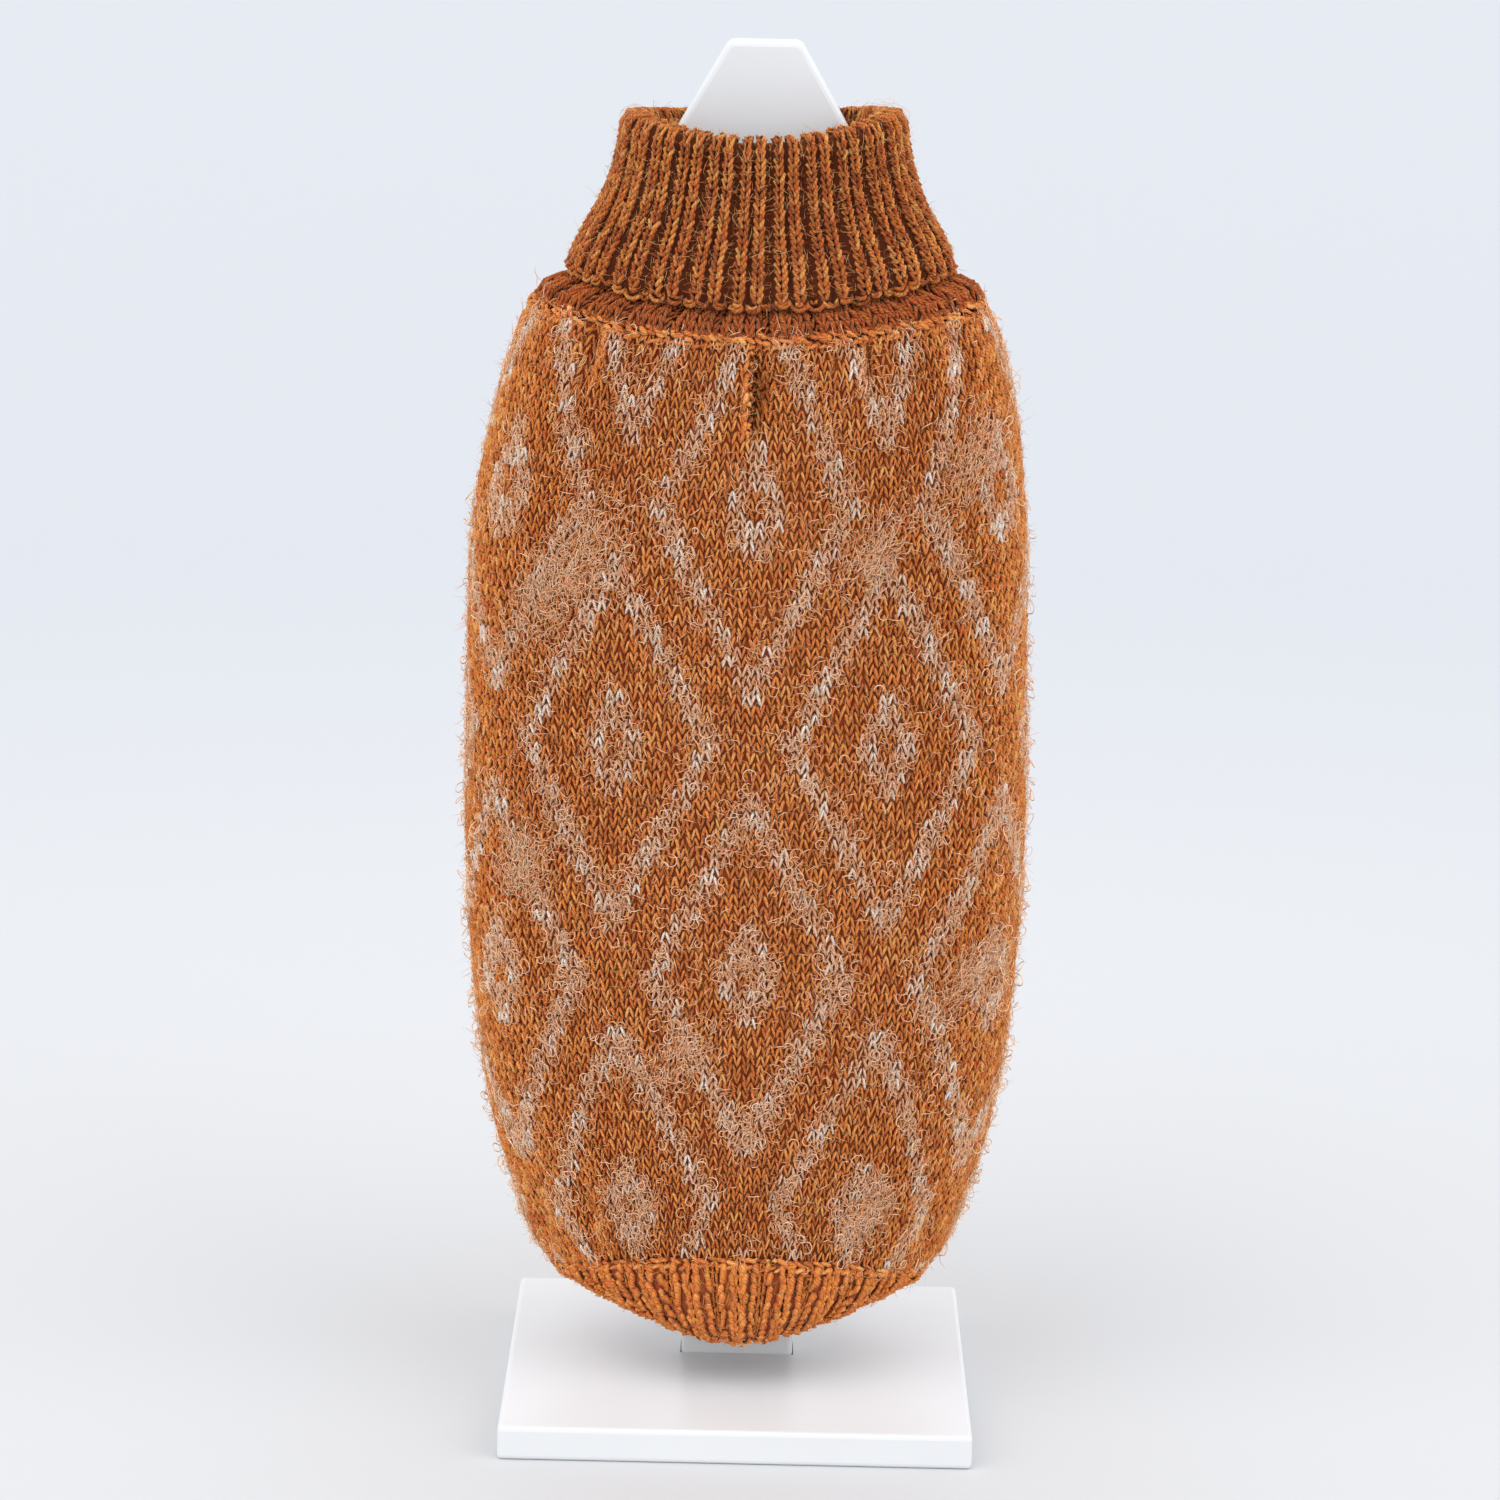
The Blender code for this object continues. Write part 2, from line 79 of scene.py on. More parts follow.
# %% [markdown]
# ## The form of the body
#
# The knitted body is a wide tube, half an ellipse towards the back and half a flatter one towards
# the belly. Its sections are listed from the hem up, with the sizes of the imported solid, and a
# smooth curve runs through them. Sewing a wide body to a narrow neck and hem leaves gathers, soft
# uneven troughs that fade out from the seam. In one of them the cloth laps over itself.

# %% Sections, seams and gathers of the body
BOARD_THICKNESS = 0.012
MIDDLE = BOARD_THICKNESS / 2
SIDE_SEAM = math.radians(120.0)


def metres(table):
    """The sizes of a table in millimetres."""
    return np.round(np.array(table) / 1000, 7)


# mm: height, half width, depth towards the back, depth towards the belly, sag to one side
BODY_SECTIONS = metres([
    (40.0, 58.5, 45.0, 39.0, 0.0),
    (44.0, 62.2, 45.4, 39.3, 0.0),
    (49.0, 66.2, 45.7, 39.6, 0.0),
    (56.0, 69.6, 46.0, 40.0, -0.1),
    (69.0, 74.0, 46.4, 40.7, -0.2),
    (89.0, 79.9, 47.0, 41.6, -0.3),
    (110.0, 84.1, 47.4, 42.4, -0.4),
    (137.0, 86.9, 47.7, 43.0, -0.6),
    (170.0, 89.1, 47.8, 43.4, -0.9),
    (210.0, 89.5, 47.7, 43.4, -1.2),
    (250.0, 88.7, 47.4, 43.1, -1.7),
    (275.0, 88.4, 47.0, 42.7, -1.9),
    (300.0, 86.1, 46.4, 42.1, -1.4),
    (320.0, 82.9, 45.9, 41.5, -0.7),
    (339.0, 78.7, 45.3, 40.8, -0.2),
    (350.0, 75.4, 44.8, 40.3, 0.0),
    (356.0, 72.7, 44.3, 39.8, 0.0),
    (361.0, 69.8, 43.8, 39.3, 0.0),
])
WIDEST = BODY_SECTIONS[9, 1:4]
NECK_WIDTH, NECK_DEPTH = BODY_SECTIONS[-1, 1:3]

Seam = namedtuple("Seam", "height back_rise belly_rise tilt narrowness")
NECK_TILT = 0.0010
NECK_SEAM = Seam(0.3588, -0.0073, -0.0029, NECK_TILT, 2)
HEM_SEAM = Seam(0.0430, 0.0145, 0.0490, 0.0, 2)
HEM_EDGE = Seam(0.0380, -0.0106, 0.0300, 0.0, 3)

# degrees around, then mm: depth, half width, start below the seam, length; whether it laps
NECK_GATHERS = (
    (-43.0, 5.6, 3.2, -10, 36, 0),
    (-23.0, 2.2, 4.5, -12, 34, 0),
    (-0.99, 9.6, 5.2, -2, 37, 1),
    (27.0, 6, 3.2, -8, 33, 0),
    (55.0, 2.2, 5, -12, 36, 0),
    (150.0, 3.6, 4, -10, 34, 0),
    (184.0, 4, 3.5, -10, 34, 0),
    (213.0, 3, 4, -10, 34, 0),
)
HEM_GATHERS = (
    (-62.0, 1.6, 5, -30, 30, 0),
    (-41.0, 2.2, 4, -34, 34, 0),
    (-18.0, 1.5, 4.5, -28, 28, 0),
    (9.0, 1.9, 4, -36, 36, 0),
    (33.0, 1.4, 5, -26, 26, 0),
    (58.0, 2, 4.5, -32, 32, 0),
    (140.0, 1.8, 4.5, -30, 30, 0),
    (171.0, 2, 4.5, -34, 34, 0),
    (205.0, 1.6, 5, -28, 28, 0),
)
RIDGE_SHARE = 0.14
RIDGE_WIDTH = 2.4
LIP_SHARPNESS = 20.0


def unit(vectors):
    """Vectors of the same directions and of length one."""
    return vectors / np.maximum(np.linalg.norm(vectors, axis=-1, keepdims=True), 1e-12)


def smooth_row(table, place):
    """The columns of a table at any place in its first column, on a smooth curve."""
    places, *columns = table.T
    above = np.clip(np.searchsorted(places, place), 1, len(places) - 1)
    below = above - 1
    span = places[above] - places[below]
    share = np.clip((place - places[below]) / span, 0.0, 1.0)
    results = []
    for values in columns:
        slopes = np.gradient(values, places)
        results.append(
            values[below] * (1 + 2 * share) * (1 - share) ** 2
            + values[above] * (3 - 2 * share) * share**2
            + slopes[below] * span * share * (1 - share) ** 2
            - slopes[above] * span * share**2 * (1 - share)
        )
    return results


def seam_height(seam, angle):
    """The height of a seam at an angle around the sweater: 0 in the middle of the back."""
    rise = np.where(np.cos(angle) > 0, seam.back_rise, seam.belly_rise)
    return seam.height + rise * np.abs(np.cos(angle)) ** seam.narrowness + seam.tilt * np.sin(angle)


def ring(angle, half_width, back_depth, belly_depth, sag=0.0):
    """X and Y on a section at an angle around the sweater."""
    depth = np.where(np.cos(angle) > 0, back_depth, belly_depth)
    return sag + half_width * np.sin(angle), MIDDLE - depth * np.cos(angle)


def pucker(gathers, angle, below):
    """How far gathers pull the cloth in, this far below their seam. Where it laps over itself, the
    left side of the fold is a step, and only its right side is a slope."""
    pulled = np.zeros(np.broadcast(angle, below).shape)
    for degrees, *sizes, laps in gathers:
        depth, half_width, start, length = metres(sizes)
        middle = math.radians(degrees)
        turn = np.angle(np.exp(1j * (angle - middle)))
        radius = math.hypot(NECK_WIDTH * math.cos(middle), NECK_DEPTH * math.sin(middle))
        across = turn * radius / half_width
        along = np.clip((below - start) / length, 0.0, 1.0)
        fold = np.exp(-(across**2))
        if laps:
            fold *= 0.5 + 0.5 * np.tanh(LIP_SHARPNESS * across)
        else:
            fold -= RIDGE_SHARE * np.exp(-((across / RIDGE_WIDTH) ** 2))
        pulled += depth * fold * np.sin(math.pi * along) ** 2
    return pulled


print(len(BODY_SECTIONS), "sections and", len(NECK_GATHERS), "gathers")

# %% [markdown]
# ## Counting stitches
#
# A knitter counts in wales, the columns of stitches, and in courses, the rows. So does this lesson:
# every face of the knitting is a function of a wale and a course. 140 wales go evenly around the
# widest section, and 96 courses lie between the neck seam and the hem seam.

# %% Faces of the knitting, by wale and course
WALES_ROUND = 140
COURSES = 96
STITCH = 0.0031
FEEL = 0.05
HALF_TURN = np.linspace(-math.pi, math.pi, 1441)


def even_angle(share_round, sizes):
    """The angle that lies a share of the way around a section of these sizes."""
    x, y = ring(HALF_TURN, *sizes)
    length = np.concatenate([[0.0], np.cumsum(np.hypot(np.diff(x), np.diff(y)))])
    shares = length / length[-1] - 0.5
    turns = np.floor(np.asarray(share_round) + 0.5)
    return np.interp(share_round - turns, shares, HALF_TURN) + 2 * math.pi * turns


def body_face(wale, course):
    """A point of the body's face: wale 0 is the middle of the back, course 0 the neck seam."""
    angle = even_angle(wale / WALES_ROUND, WIDEST)
    top, bottom = seam_height(NECK_SEAM, angle), seam_height(HEM_SEAM, angle)
    height = top + (bottom - top) * course / COURSES
    folds = pucker(NECK_GATHERS, angle, top - height) + pucker(HEM_GATHERS, angle, bottom - height)
    half_width, back_depth, belly_depth, sag = smooth_row(BODY_SECTIONS, height)
    x, y = ring(angle, half_width, back_depth, belly_depth, sag)
    depth = np.where(np.cos(angle) > 0, back_depth, belly_depth)
    out_x = np.sin(angle) * depth
    out_y = -np.cos(angle) * half_width
    pull = folds / np.hypot(out_x, out_y)
    return np.stack([x - out_x * pull, y - out_y * pull, height], axis=-1)


def on_face(face, wale, course, lift):
    """Points a little off a face, and where it looks there, felt from four points around each."""
    wale, course = np.broadcast_arrays(wale, course)
    across = face(wale + FEEL, course) - face(wale - FEEL, course)
    down = face(wale, course + FEEL) - face(wale, course - FEEL)
    looks = unit(np.cross(down, across))
    return face(wale, course) + looks * np.asarray(lift)[..., None], looks


shares_round = np.linspace(0, 0.5, 500)
SEAM_WALE = int(WALES_ROUND * np.interp(SIDE_SEAM, even_angle(shares_round, WIDEST), shares_round))
print("the side seams lie", SEAM_WALE, "wales from the middle of the back")

# %% [markdown]
# ## Strands and cloth
#
# One helper makes every strand, from a thick stitch leg to a fine hair: a tube of three or four
# sides, pointed at both ends, with a UV map along the yarn and a shade of its own for the heathered
# colour. The other makes the thin cloth below, a closed wall between two grids of points.

# %% Helpers for strands and cloth
chance = np.random.default_rng(20)
normal, uniform, choice = chance.normal, chance.uniform, chance.choice


def add_piece(name, mesh, material):
    """Puts a mesh in the scene as a piece of the product, made of wool."""
    piece = bpy.data.objects.new(name, mesh)
    bpy.context.scene.collection.objects.link(piece)
    mesh.materials.append(material)
    mesh.shade_smooth()
    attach(piece, "root")
    return piece


def mesh_of(name, points, triangles, across, along):
    """A mesh of triangles, with each point's place across and along the yarn in a UV map."""
    corners = triangles.astype(np.int32).ravel()
    mesh = bpy.data.meshes.new(name)
    mesh.vertices.add(len(points))
    mesh.loops.add(corners.size)
    mesh.polygons.add(len(triangles))
    mesh.vertices.foreach_set("co", points.astype(np.float32).ravel())
    mesh.loops.foreach_set("vertex_index", corners)
    mesh.polygons.foreach_set("loop_start", np.arange(0, corners.size, 3, dtype=np.int32))
    mesh.update(calc_edges=True)
    layer = mesh.uv_layers.new(name="yarn")
    layer.data.foreach_set("uv", np.stack([across[corners], along[corners]], -1).ravel())
    return mesh


def add_strands(name, path, looks, half_width, half_height, sides, shade, material):
    """A piece of pointed strands that follow paths of shape (strands, stations, 3)."""
    count, stations = path.shape[:2]
    rings = stations - 2
    forward = unit(np.gradient(path, axis=1))
    sideways = unit(np.cross(forward, looks))
    upwards = unit(np.cross(sideways, forward))
    turn = 2 * math.pi * np.arange(sides) / sides + math.pi / 2
    wide = (half_width[:, None] * np.cos(turn))[:, None, :, None] * sideways[:, 1:-1, None]
    high = (half_height[:, None] * np.sin(turn))[:, None, :, None] * upwards[:, 1:-1, None]
    tube = (path[:, 1:-1, None] + wide + high).reshape(count, rings * sides, 3)
    points = np.concatenate([path[:, :1], tube, path[:, -1:]], axis=1)

    here = 1 + np.arange(sides)
    after = 1 + np.arange(1, sides + 1) % sides
    end = (rings - 1) * sides
    last = 1 + rings * sides
    faces = [(0 * here, after, here)]
    for start in range(0, end, sides):
        near, far = start + here, start + after
        faces += [(near, far, far + sides), (near, far + sides, near + sides)]
    faces.append((0 * here + last, end + here, end + after))
    faces = np.concatenate([np.stack(face, -1) for face in faces])[:, ::-1]
    triangles = (faces[None] + (np.arange(count) * (last + 1))[:, None, None]).reshape(-1, 3)

    across = np.concatenate([[0.5], np.tile((1 + np.cos(turn)) / 2, rings), [0.5]])
    steps = np.linalg.norm(np.diff(path, axis=1, prepend=path[:, :1]), axis=2)
    along = np.repeat(np.cumsum(steps, axis=1), [1, *[sides] * rings, 1], axis=1)
    places = np.tile(across, count), along.ravel() * 1000
    mesh = mesh_of(name, points.reshape(-1, 3), triangles, *places)
    layer = mesh.attributes.new("shade", "FLOAT", "POINT")
    layer.data.foreach_set("value", np.repeat(shade, last + 1).astype(np.float32))
    return add_piece(name, mesh, material)


def add_cloth(name, outer, inner, closed, material):
    """A piece of cloth, a wall between two grids of points. A closed one goes round."""
    rows, columns = outer.shape[:2]
    index = np.arange(rows * columns).reshape(rows, columns)
    if closed:
        index = np.concatenate([index, index[:, :1]], axis=1)
    patches = [index[:-1, :-1], index[1:, :-1], index[1:, 1:], index[:-1, 1:]]
    patches = np.stack(patches, -1).reshape(-1, 4)
    inside = rows * columns
    faces = [patches, inside + patches[:, ::-1]]
    borders = [index[0], index[-1][::-1]]
    if not closed:
        borders += [index[::-1, 0], index[:, -1]]
    for border in borders:
        near, far = border[:-1], border[1:]
        faces.append(np.stack([near, far, inside + far, inside + near], -1))
    faces = np.concatenate(faces)
    triangles = np.concatenate([faces[:, [0, 1, 2]], faces[:, [0, 2, 3]]])
    points = np.concatenate([outer.reshape(-1, 3), inner.reshape(-1, 3)])
    places = np.meshgrid(np.arange(float(columns)), np.arange(float(rows)))
    mesh = mesh_of(name, points, triangles, *(np.tile(grid.ravel(), 2) for grid in places))
    return add_piece(name, mesh, material)


def tell(what, pieces):
    """Prints how many triangles some pieces have."""
    print(what, [len(piece.data.polygons) for piece in pieces], "triangles")


print("helpers ready")

# %% [markdown]
# ## Wool
#
# The rust yarn is heathered: golden, orange, red and brown fibres are spun together. The pattern
# yarn is cream and grey with a pinkish brushed hair. One node group serves every wool, each with
# its own four colours: it reads the strand's shade and UV map, stretches a noise along the twist,
# winds two plies round each other with painted light and shade along the twist, paints the sides
# of each strand darker as shade, leans some fibres towards red and some towards gold, and makes
# the bump. The ribs' yarn and the two grounds are painted darker, as shade for where they lie.

# %% The node group of spun yarn
YARN_COLOURS = ("Deep", "Middle", "Bright", "Tip")
COLOUR_STEP = 0.33
FIBRE_TWIST, FIBRES_ACROSS, FIBRES_ALONG, FIBRE_CHANGE = 3.0, 1.6, 0.35, 61.0
PLY_TWIST, PLIES_ALONG, PLY_CHANGE = 2.4, 5.2, 20.0
SHADE_SHARE, FIBRE_SHARE, PLY_SHADE_SHARE, SIDE_SHADE_SHARE, LEVEL = 0.75, 1.5, 0.12, -1.1, 0.22
PLY_RELIEF = 0.45
HUE_LEAN = 0.024


def fill(tree, node, sockets):
    """Gives sockets of a node their values or links."""
    for name, value in sockets.items():
        if isinstance(value, bpy.types.NodeSocket):
            tree.links.new(value, node.inputs[name])
        else:
            node.inputs[name].default_value = value


def new_node(tree, kind, sockets, **settings):
    """A shader node of a kind, with its settings and its sockets filled."""
    made = tree.nodes.new("ShaderNode" + kind)
    for name, value in settings.items():
        setattr(made, name, value)
    fill(tree, made, sockets)
    return made


def do_math(tree, operation, first, second=0.0):
    """What a Math node makes of two sockets or numbers."""
    return new_node(tree, "Math", {0: first, 1: second}, operation=operation).outputs[0]


def ramp(tree, value, low, high, first=0.0, last=1.0, **settings):
    """A number that goes from first to last while a value goes from low to high."""
    ends = {"Value": value, "From Min": low, "From Max": high, "To Min": first, "To Max": last}
    return new_node(tree, "MapRange", ends, **settings).outputs[0]


def blend(tree, share, first, second):
    """A colour that lies a share of the way between two colours."""
    colours = {0: share, 6: first, 7: second}
    return new_node(tree, "Mix", colours, data_type="RGBA").outputs[2]


def make_spun_yarn():
    """The group: a colour and a bumped normal for yarn, from four colours."""
    group = bpy.data.node_groups.new("spun yarn", "ShaderNodeTree")
    ends = [(name, "INPUT", "Color") for name in YARN_COLOURS]
    ends += [("Fibre Depth", "INPUT", "Float"), ("Color", "OUTPUT", "Color")]
    for name, way, kind in (*ends, ("Normal", "OUTPUT", "Vector")):
        group.interface.new_socket(name, in_out=way, socket_type="NodeSocket" + kind)
    inputs = group.nodes.new("NodeGroupInput").outputs
    add, times = (partial(do_math, group, kind) for kind in ("ADD", "MULTIPLY"))

    shade = new_node(group, "Attribute", {}, attribute_name="shade").outputs["Fac"]
    place = new_node(group, "UVMap", {}, uv_map="yarn").outputs["UV"]
    across, along, _ = new_node(group, "SeparateXYZ", {0: place}).outputs
    twisted = times(add(times(across, FIBRE_TWIST), along), FIBRES_ACROSS)
    spread = {0: twisted, 1: times(along, FIBRES_ALONG), 2: times(shade, FIBRE_CHANGE)}
    spread = new_node(group, "CombineXYZ", spread).outputs[0]
    fibres = {"Vector": spread, "Scale": 1.0, "Detail": 3.0, "Roughness": 0.65}
    fibre, fibre_colour = new_node(group, "TexNoise", fibres).outputs

    # the plies' twist: painted light and shade in the tone, and relief in the bump
    wound = times(add(times(across, PLY_TWIST), along), PLIES_ALONG)
    ply = do_math(group, "SINE", add(wound, times(shade, PLY_CHANGE)))
    # the sides of each strand are painted darker, as shade on a round strand
    middle = add(across, -0.5)
    edge = times(times(middle, middle), SIDE_SHADE_SHARE)
    level = times(shade, SHADE_SHARE)
    for part in (times(add(fibre, -0.5), FIBRE_SHARE), times(ply, PLY_SHADE_SHARE), edge, LEVEL):
        level = add(level, part)
    colour = inputs["Deep"]
    for step, name in enumerate(YARN_COLOURS[1:]):
        share = ramp(group, level, step * COLOUR_STEP, (step + 1) * COLOUR_STEP)
        colour = blend(group, share, colour, inputs[name])
    channel = new_node(group, "SeparateXYZ", {0: fibre_colour}).outputs[1]
    hue = ramp(group, channel, 0.3, 0.7, 0.5 - HUE_LEAN, 0.5 + HUE_LEAN)
    leaning = new_node(group, "HueSaturation", {"Hue": hue, "Color": colour})
    relief = add(fibre, times(ply, PLY_RELIEF))
    bumps = {"Strength": inputs["Fibre Depth"], "Distance": 0.0003, "Height": relief}
    bump = new_node(group, "Bump", bumps)
    results = {"Color": leaning.outputs["Color"], "Normal": bump.outputs[0]}
    fill(group, group.nodes.new("NodeGroupOutput"), results)
    return group


spun_yarn = make_spun_yarn()
print("spun yarn has", len(spun_yarn.nodes), "nodes")

# %% Wool finishes


def new_material(name, look):
    """A material whose surface gets what look makes in its tree of nodes."""
    made = bpy.data.materials.new(name)
    made.use_nodes = True
    fill(made.node_tree, made.node_tree.nodes["Principled BSDF"], look(made.node_tree))
    return made


def wool_material(name, fibre_depth, *colours):
    """A soft matt material for one wool, from its deep, middle, bright and tip colours."""

    def look(tree):
        sockets = {socket: (*colour, 1.0) for socket, colour in zip(YARN_COLOURS, colours)}
        sockets["Fibre Depth"] = fibre_depth
        yarn = new_node(tree, "Group", sockets, node_tree=spun_yarn).outputs
        return {
            "Base Color": yarn["Color"], "Normal": yarn["Normal"], "Roughness": 0.92,
            "Specular IOR Level": 0.25, "Sheen Weight": 0.3, "Sheen Roughness": 0.5,
            "Sheen Tint": (1.0, 0.60, 0.34, 1.0),
        }

    return new_material(name, look)


WOOLS = (
    ("rust wool", 0.8,
     (0.35, 0.072, 0.015), (0.66, 0.172, 0.031), (0.83, 0.28, 0.053), (0.91, 0.48, 0.16)),
    # a darker copy of the rust wool for the collar and the band: painted shade
    ("ribbing wool", 0.8,
     (0.17, 0.030, 0.006), (0.43, 0.085, 0.013), (0.60, 0.170, 0.026), (0.74, 0.35, 0.09)),
    ("pattern wool", 0.8,
     (0.66, 0.21, 0.075), (0.80, 0.40, 0.21), (0.92, 0.69, 0.52), (0.97, 0.93, 0.87)),
    ("brushed haze", 0.2,
     (0.90, 0.36, 0.14), (0.95, 0.49, 0.23), (0.97, 0.61, 0.38), (0.98, 0.77, 0.57)),
    ("loose rust hair", 0.2,
     (0.62, 0.20, 0.05), (0.74, 0.31, 0.09), (0.82, 0.43, 0.16), (0.88, 0.58, 0.28)),
    # the cloth below the stitches, painted darker than the yarn as the shade between them
    ("ground of the knitting", 0.5,
     (0.38, 0.078, 0.015), (0.50, 0.110, 0.022), (0.60, 0.145, 0.031), (0.70, 0.190, 0.044)),
    # the ribs' ground, painted darker still as the shade in the grooves between the ribs
    ("ground of the ribs", 0.5,
     (0.12, 0.024, 0.005), (0.19, 0.038, 0.008), (0.26, 0.057, 0.012), (0.34, 0.081, 0.017)),
)
rust, shaded_ribbing, cream, haze, down_hair, ground, groove_shade = (wool_material(*wool) for wool in WOOLS)
print("wools:", [wool.name for wool in bpy.data.materials])

# %% [markdown]
# ## The ground of the body
#
# Between stitches one looks into the shadow of the fabric. A thin wall just below the body's face
# gives that depth, and it is the body's cloth in place of the imported panels, one sheet for each
# panel. Its grid is finer at the lapped gather, where the wall takes a sharp step.

# %% The two panels' ground
GROUND_DEPTH = 0.0009
GROUND_WALL = 0.0011
LAP_WALES = (-0.75, -0.56, -0.44, -0.25, 0.25)


# the ground wool is painted darker than the yarn, as the shade between the stitches
def ground_cloth(name, face, wales, courses, closed, material=ground):
    """The thin wall below a face of knitting."""
    wale, course = np.meshgrid(wales, courses)
    outer, _ = on_face(face, wale, course, -GROUND_DEPTH)
    inner, _ = on_face(face, wale, course, -GROUND_DEPTH - GROUND_WALL)
    return add_cloth(name, outer, inner, closed, material)


panel_courses = np.linspace(0.0, COURSES + 0.3, 45)
back_wales = np.union1d(np.linspace(-SEAM_WALE - 0.4, SEAM_WALE + 0.4, 88), LAP_WALES)
belly_wales = np.linspace(SEAM_WALE + 0.6, WALES_ROUND - SEAM_WALE - 0.6, 46)
back_ground = ground_cloth("back_ground", body_face, back_wales, panel_courses, closed=False)
belly_ground = ground_cloth("belly_ground", body_face, belly_wales, panel_courses, closed=False)
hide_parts("back_panel")
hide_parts("belly_panel")
tell("ground:", [back_ground, belly_ground])

# %% [markdown]
# ## Stitches of the body
#
# A knit stitch shows as two legs. This body is knitted from the neck down, so the legs meet at the
# top, like a roof, and run a little under the course below. No two stitches are quite alike.

# %% Legs of a stitch
LEG_SIDEWAYS = np.array([0.06, 0.27, 0.83, 0.94])
LEG_DOWN = np.array([-0.26, 0.06, 0.92, 1.40])
LEG_LIFTS = np.array([-0.0002, 0.0004, 0.0001, -0.0009])
LEG_SHARE = 0.41
LEG_HEIGHT = 0.00066
WIDEST_LEG = 0.00115
WALE_SPREAD, COURSE_SPREAD, LEAN_SPREAD, SIZE_SPREAD = 0.13, 0.10, 0.10, 0.12
LIFT_SPREAD = 0.00015


def heather(wale, course):
    """A shade from 0 to 1 for each strand, drifting along the yarn."""
    drift = np.sin(wale * 0.83 + course * 2.1) + np.sin(wale * 0.37 - course * 1.3 + 1.7)
    slow_drift = np.sin(wale * 0.16 + 1.9 * np.sin(course * 0.09)) * np.sin(course * 0.12 + 0.4)
    level = 0.42 + 0.07 * drift + 0.07 * slow_drift
    return np.clip(level + normal(0, 0.27, np.shape(wale)), 0.0, 1.0)


def toned(share, base=0.0):
    """The same with less contrast: scaled down as painted shade for yarn in shade, or lifted for
    more even strands.
    """
    return lambda wale, course: base + share * heather(wale, course)


# shaded_heather paints the tone darker, as shade, for the band under the fold and the bars between
# the ribs
shaded_heather = toned(0.3)
even_heather = toned(0.4, 0.20)


def pale_heather(wale, course):
    """The pattern yarn is almost white for a few stitches, then rusty from its fuzz again."""
    wave = np.sin(wale * 1.1 + course * 0.9) * np.sin(course * 0.55 - wale * 0.7 + 0.6)
    white = np.clip(2.2 * wave - 0.15, 0.0, 1.0)
    return np.clip(0.20 + 0.68 * white + normal(0, 0.17, np.shape(wale)), 0.0, 1.0)


def knit_stitches(name, face, wale, course, half_span, material, reach=1.0, apart=0.0, even=1.0,
                  plump=1.0, tint=heather):
    """Stitches with their heads at wale and course. A negative reach turns their legs up, apart
    opens the legs at their heads, even makes them more alike, and plump thickens their yarn."""
    down = LEG_DOWN * reach
    sideways = apart + (1 - apart) * LEG_SIDEWAYS
    legs = []
    for side in (-1, 1):
        here = wale + normal(0, WALE_SPREAD / even, wale.shape) * half_span
        there = course + normal(0, COURSE_SPREAD / even, wale.shape)
        lean = 1 + normal(0, LEAN_SPREAD / even, wale.shape)
        leg_wale = here[:, None] + side * half_span * sideways * lean[:, None]
        lift = LEG_LIFTS + normal(0, LIFT_SPREAD, (*wale.shape, 1))
        path, looks = on_face(face, leg_wale, there[:, None] + down, lift)
        room = np.linalg.norm(face(wale + half_span, course) - face(wale, course), axis=-1)
        legs.append((path, looks, tint(here, there), room))
    path, looks, shade, room = map(np.concatenate, zip(*legs))
    size = normal(1.0, SIZE_SPREAD / even, len(path))
    half_width = np.minimum(LEG_SHARE * room, WIDEST_LEG) * size * plump
    return add_strands(name, path, looks, half_width, LEG_HEIGHT * size * plump, 3, shade, material)


print("a leg is", round(1000 * LEG_SHARE * STITCH, 2), "mm wide")

# %% [markdown]
# ## The pattern
#
# The pale yarn draws a lattice of large diamonds, set half a step apart from row to row, each with
# a small hollow diamond at its heart, a common repeat in stranded knitting. A formula charts it: a
# stitch is pale where its distance from a diamond's middle, counted in diamond sizes, is close to 1
# or falls in the small inner ring.

# %% Chart the diamonds
REPEAT_WALES = 14
REPEAT_COURSES = 24.4
FIRST_WALE = 0.5
FIRST_COURSE = 16.5
DIAMOND_WALES = 9.9
DIAMOND_COURSES = 18.5
DRAWN_OUT = 0.19
OUTLINE = (0.89, 1.11)
HEART = (0.12, 0.345)


def is_pattern(wale, course):
    """Whether a stitch is pale. The gathers draw out the courses above the first heart."""
    course = course + DRAWN_OUT * np.maximum(FIRST_COURSE - course, 0.0)
    wale, course = wale - FIRST_WALE, course - FIRST_COURSE
    column, row = np.round(wale / REPEAT_WALES), np.round(course / REPEAT_COURSES)
    pale = np.zeros(np.shape(wale), bool)
    for column_step, row_step in np.ndindex(3, 3):
        at_column, at_row = column + column_step - 1, row + row_step - 1
        across = np.abs(wale - REPEAT_WALES * at_column) / DIAMOND_WALES
        far = across + np.abs(course - REPEAT_COURSES * at_row) / DIAMOND_COURSES
        drawn = (OUTLINE[0] < far) & (far < OUTLINE[1]) | (HEART[0] < far) & (far < HEART[1])
        pale |= drawn & ((at_column + at_row) % 2 == 0)
    return pale


def all_stitches(wales):
    """The wale and the course of every stitch in these wales."""
    return [grid.ravel().astype(float) for grid in np.meshgrid(wales, np.arange(COURSES))]


wale, course = all_stitches(np.arange(-SEAM_WALE, SEAM_WALE + 1))
pale = is_pattern(wale, course)
print("back panel:", len(wale), "stitches,", int(pale.sum()), "of them in the pale yarn")

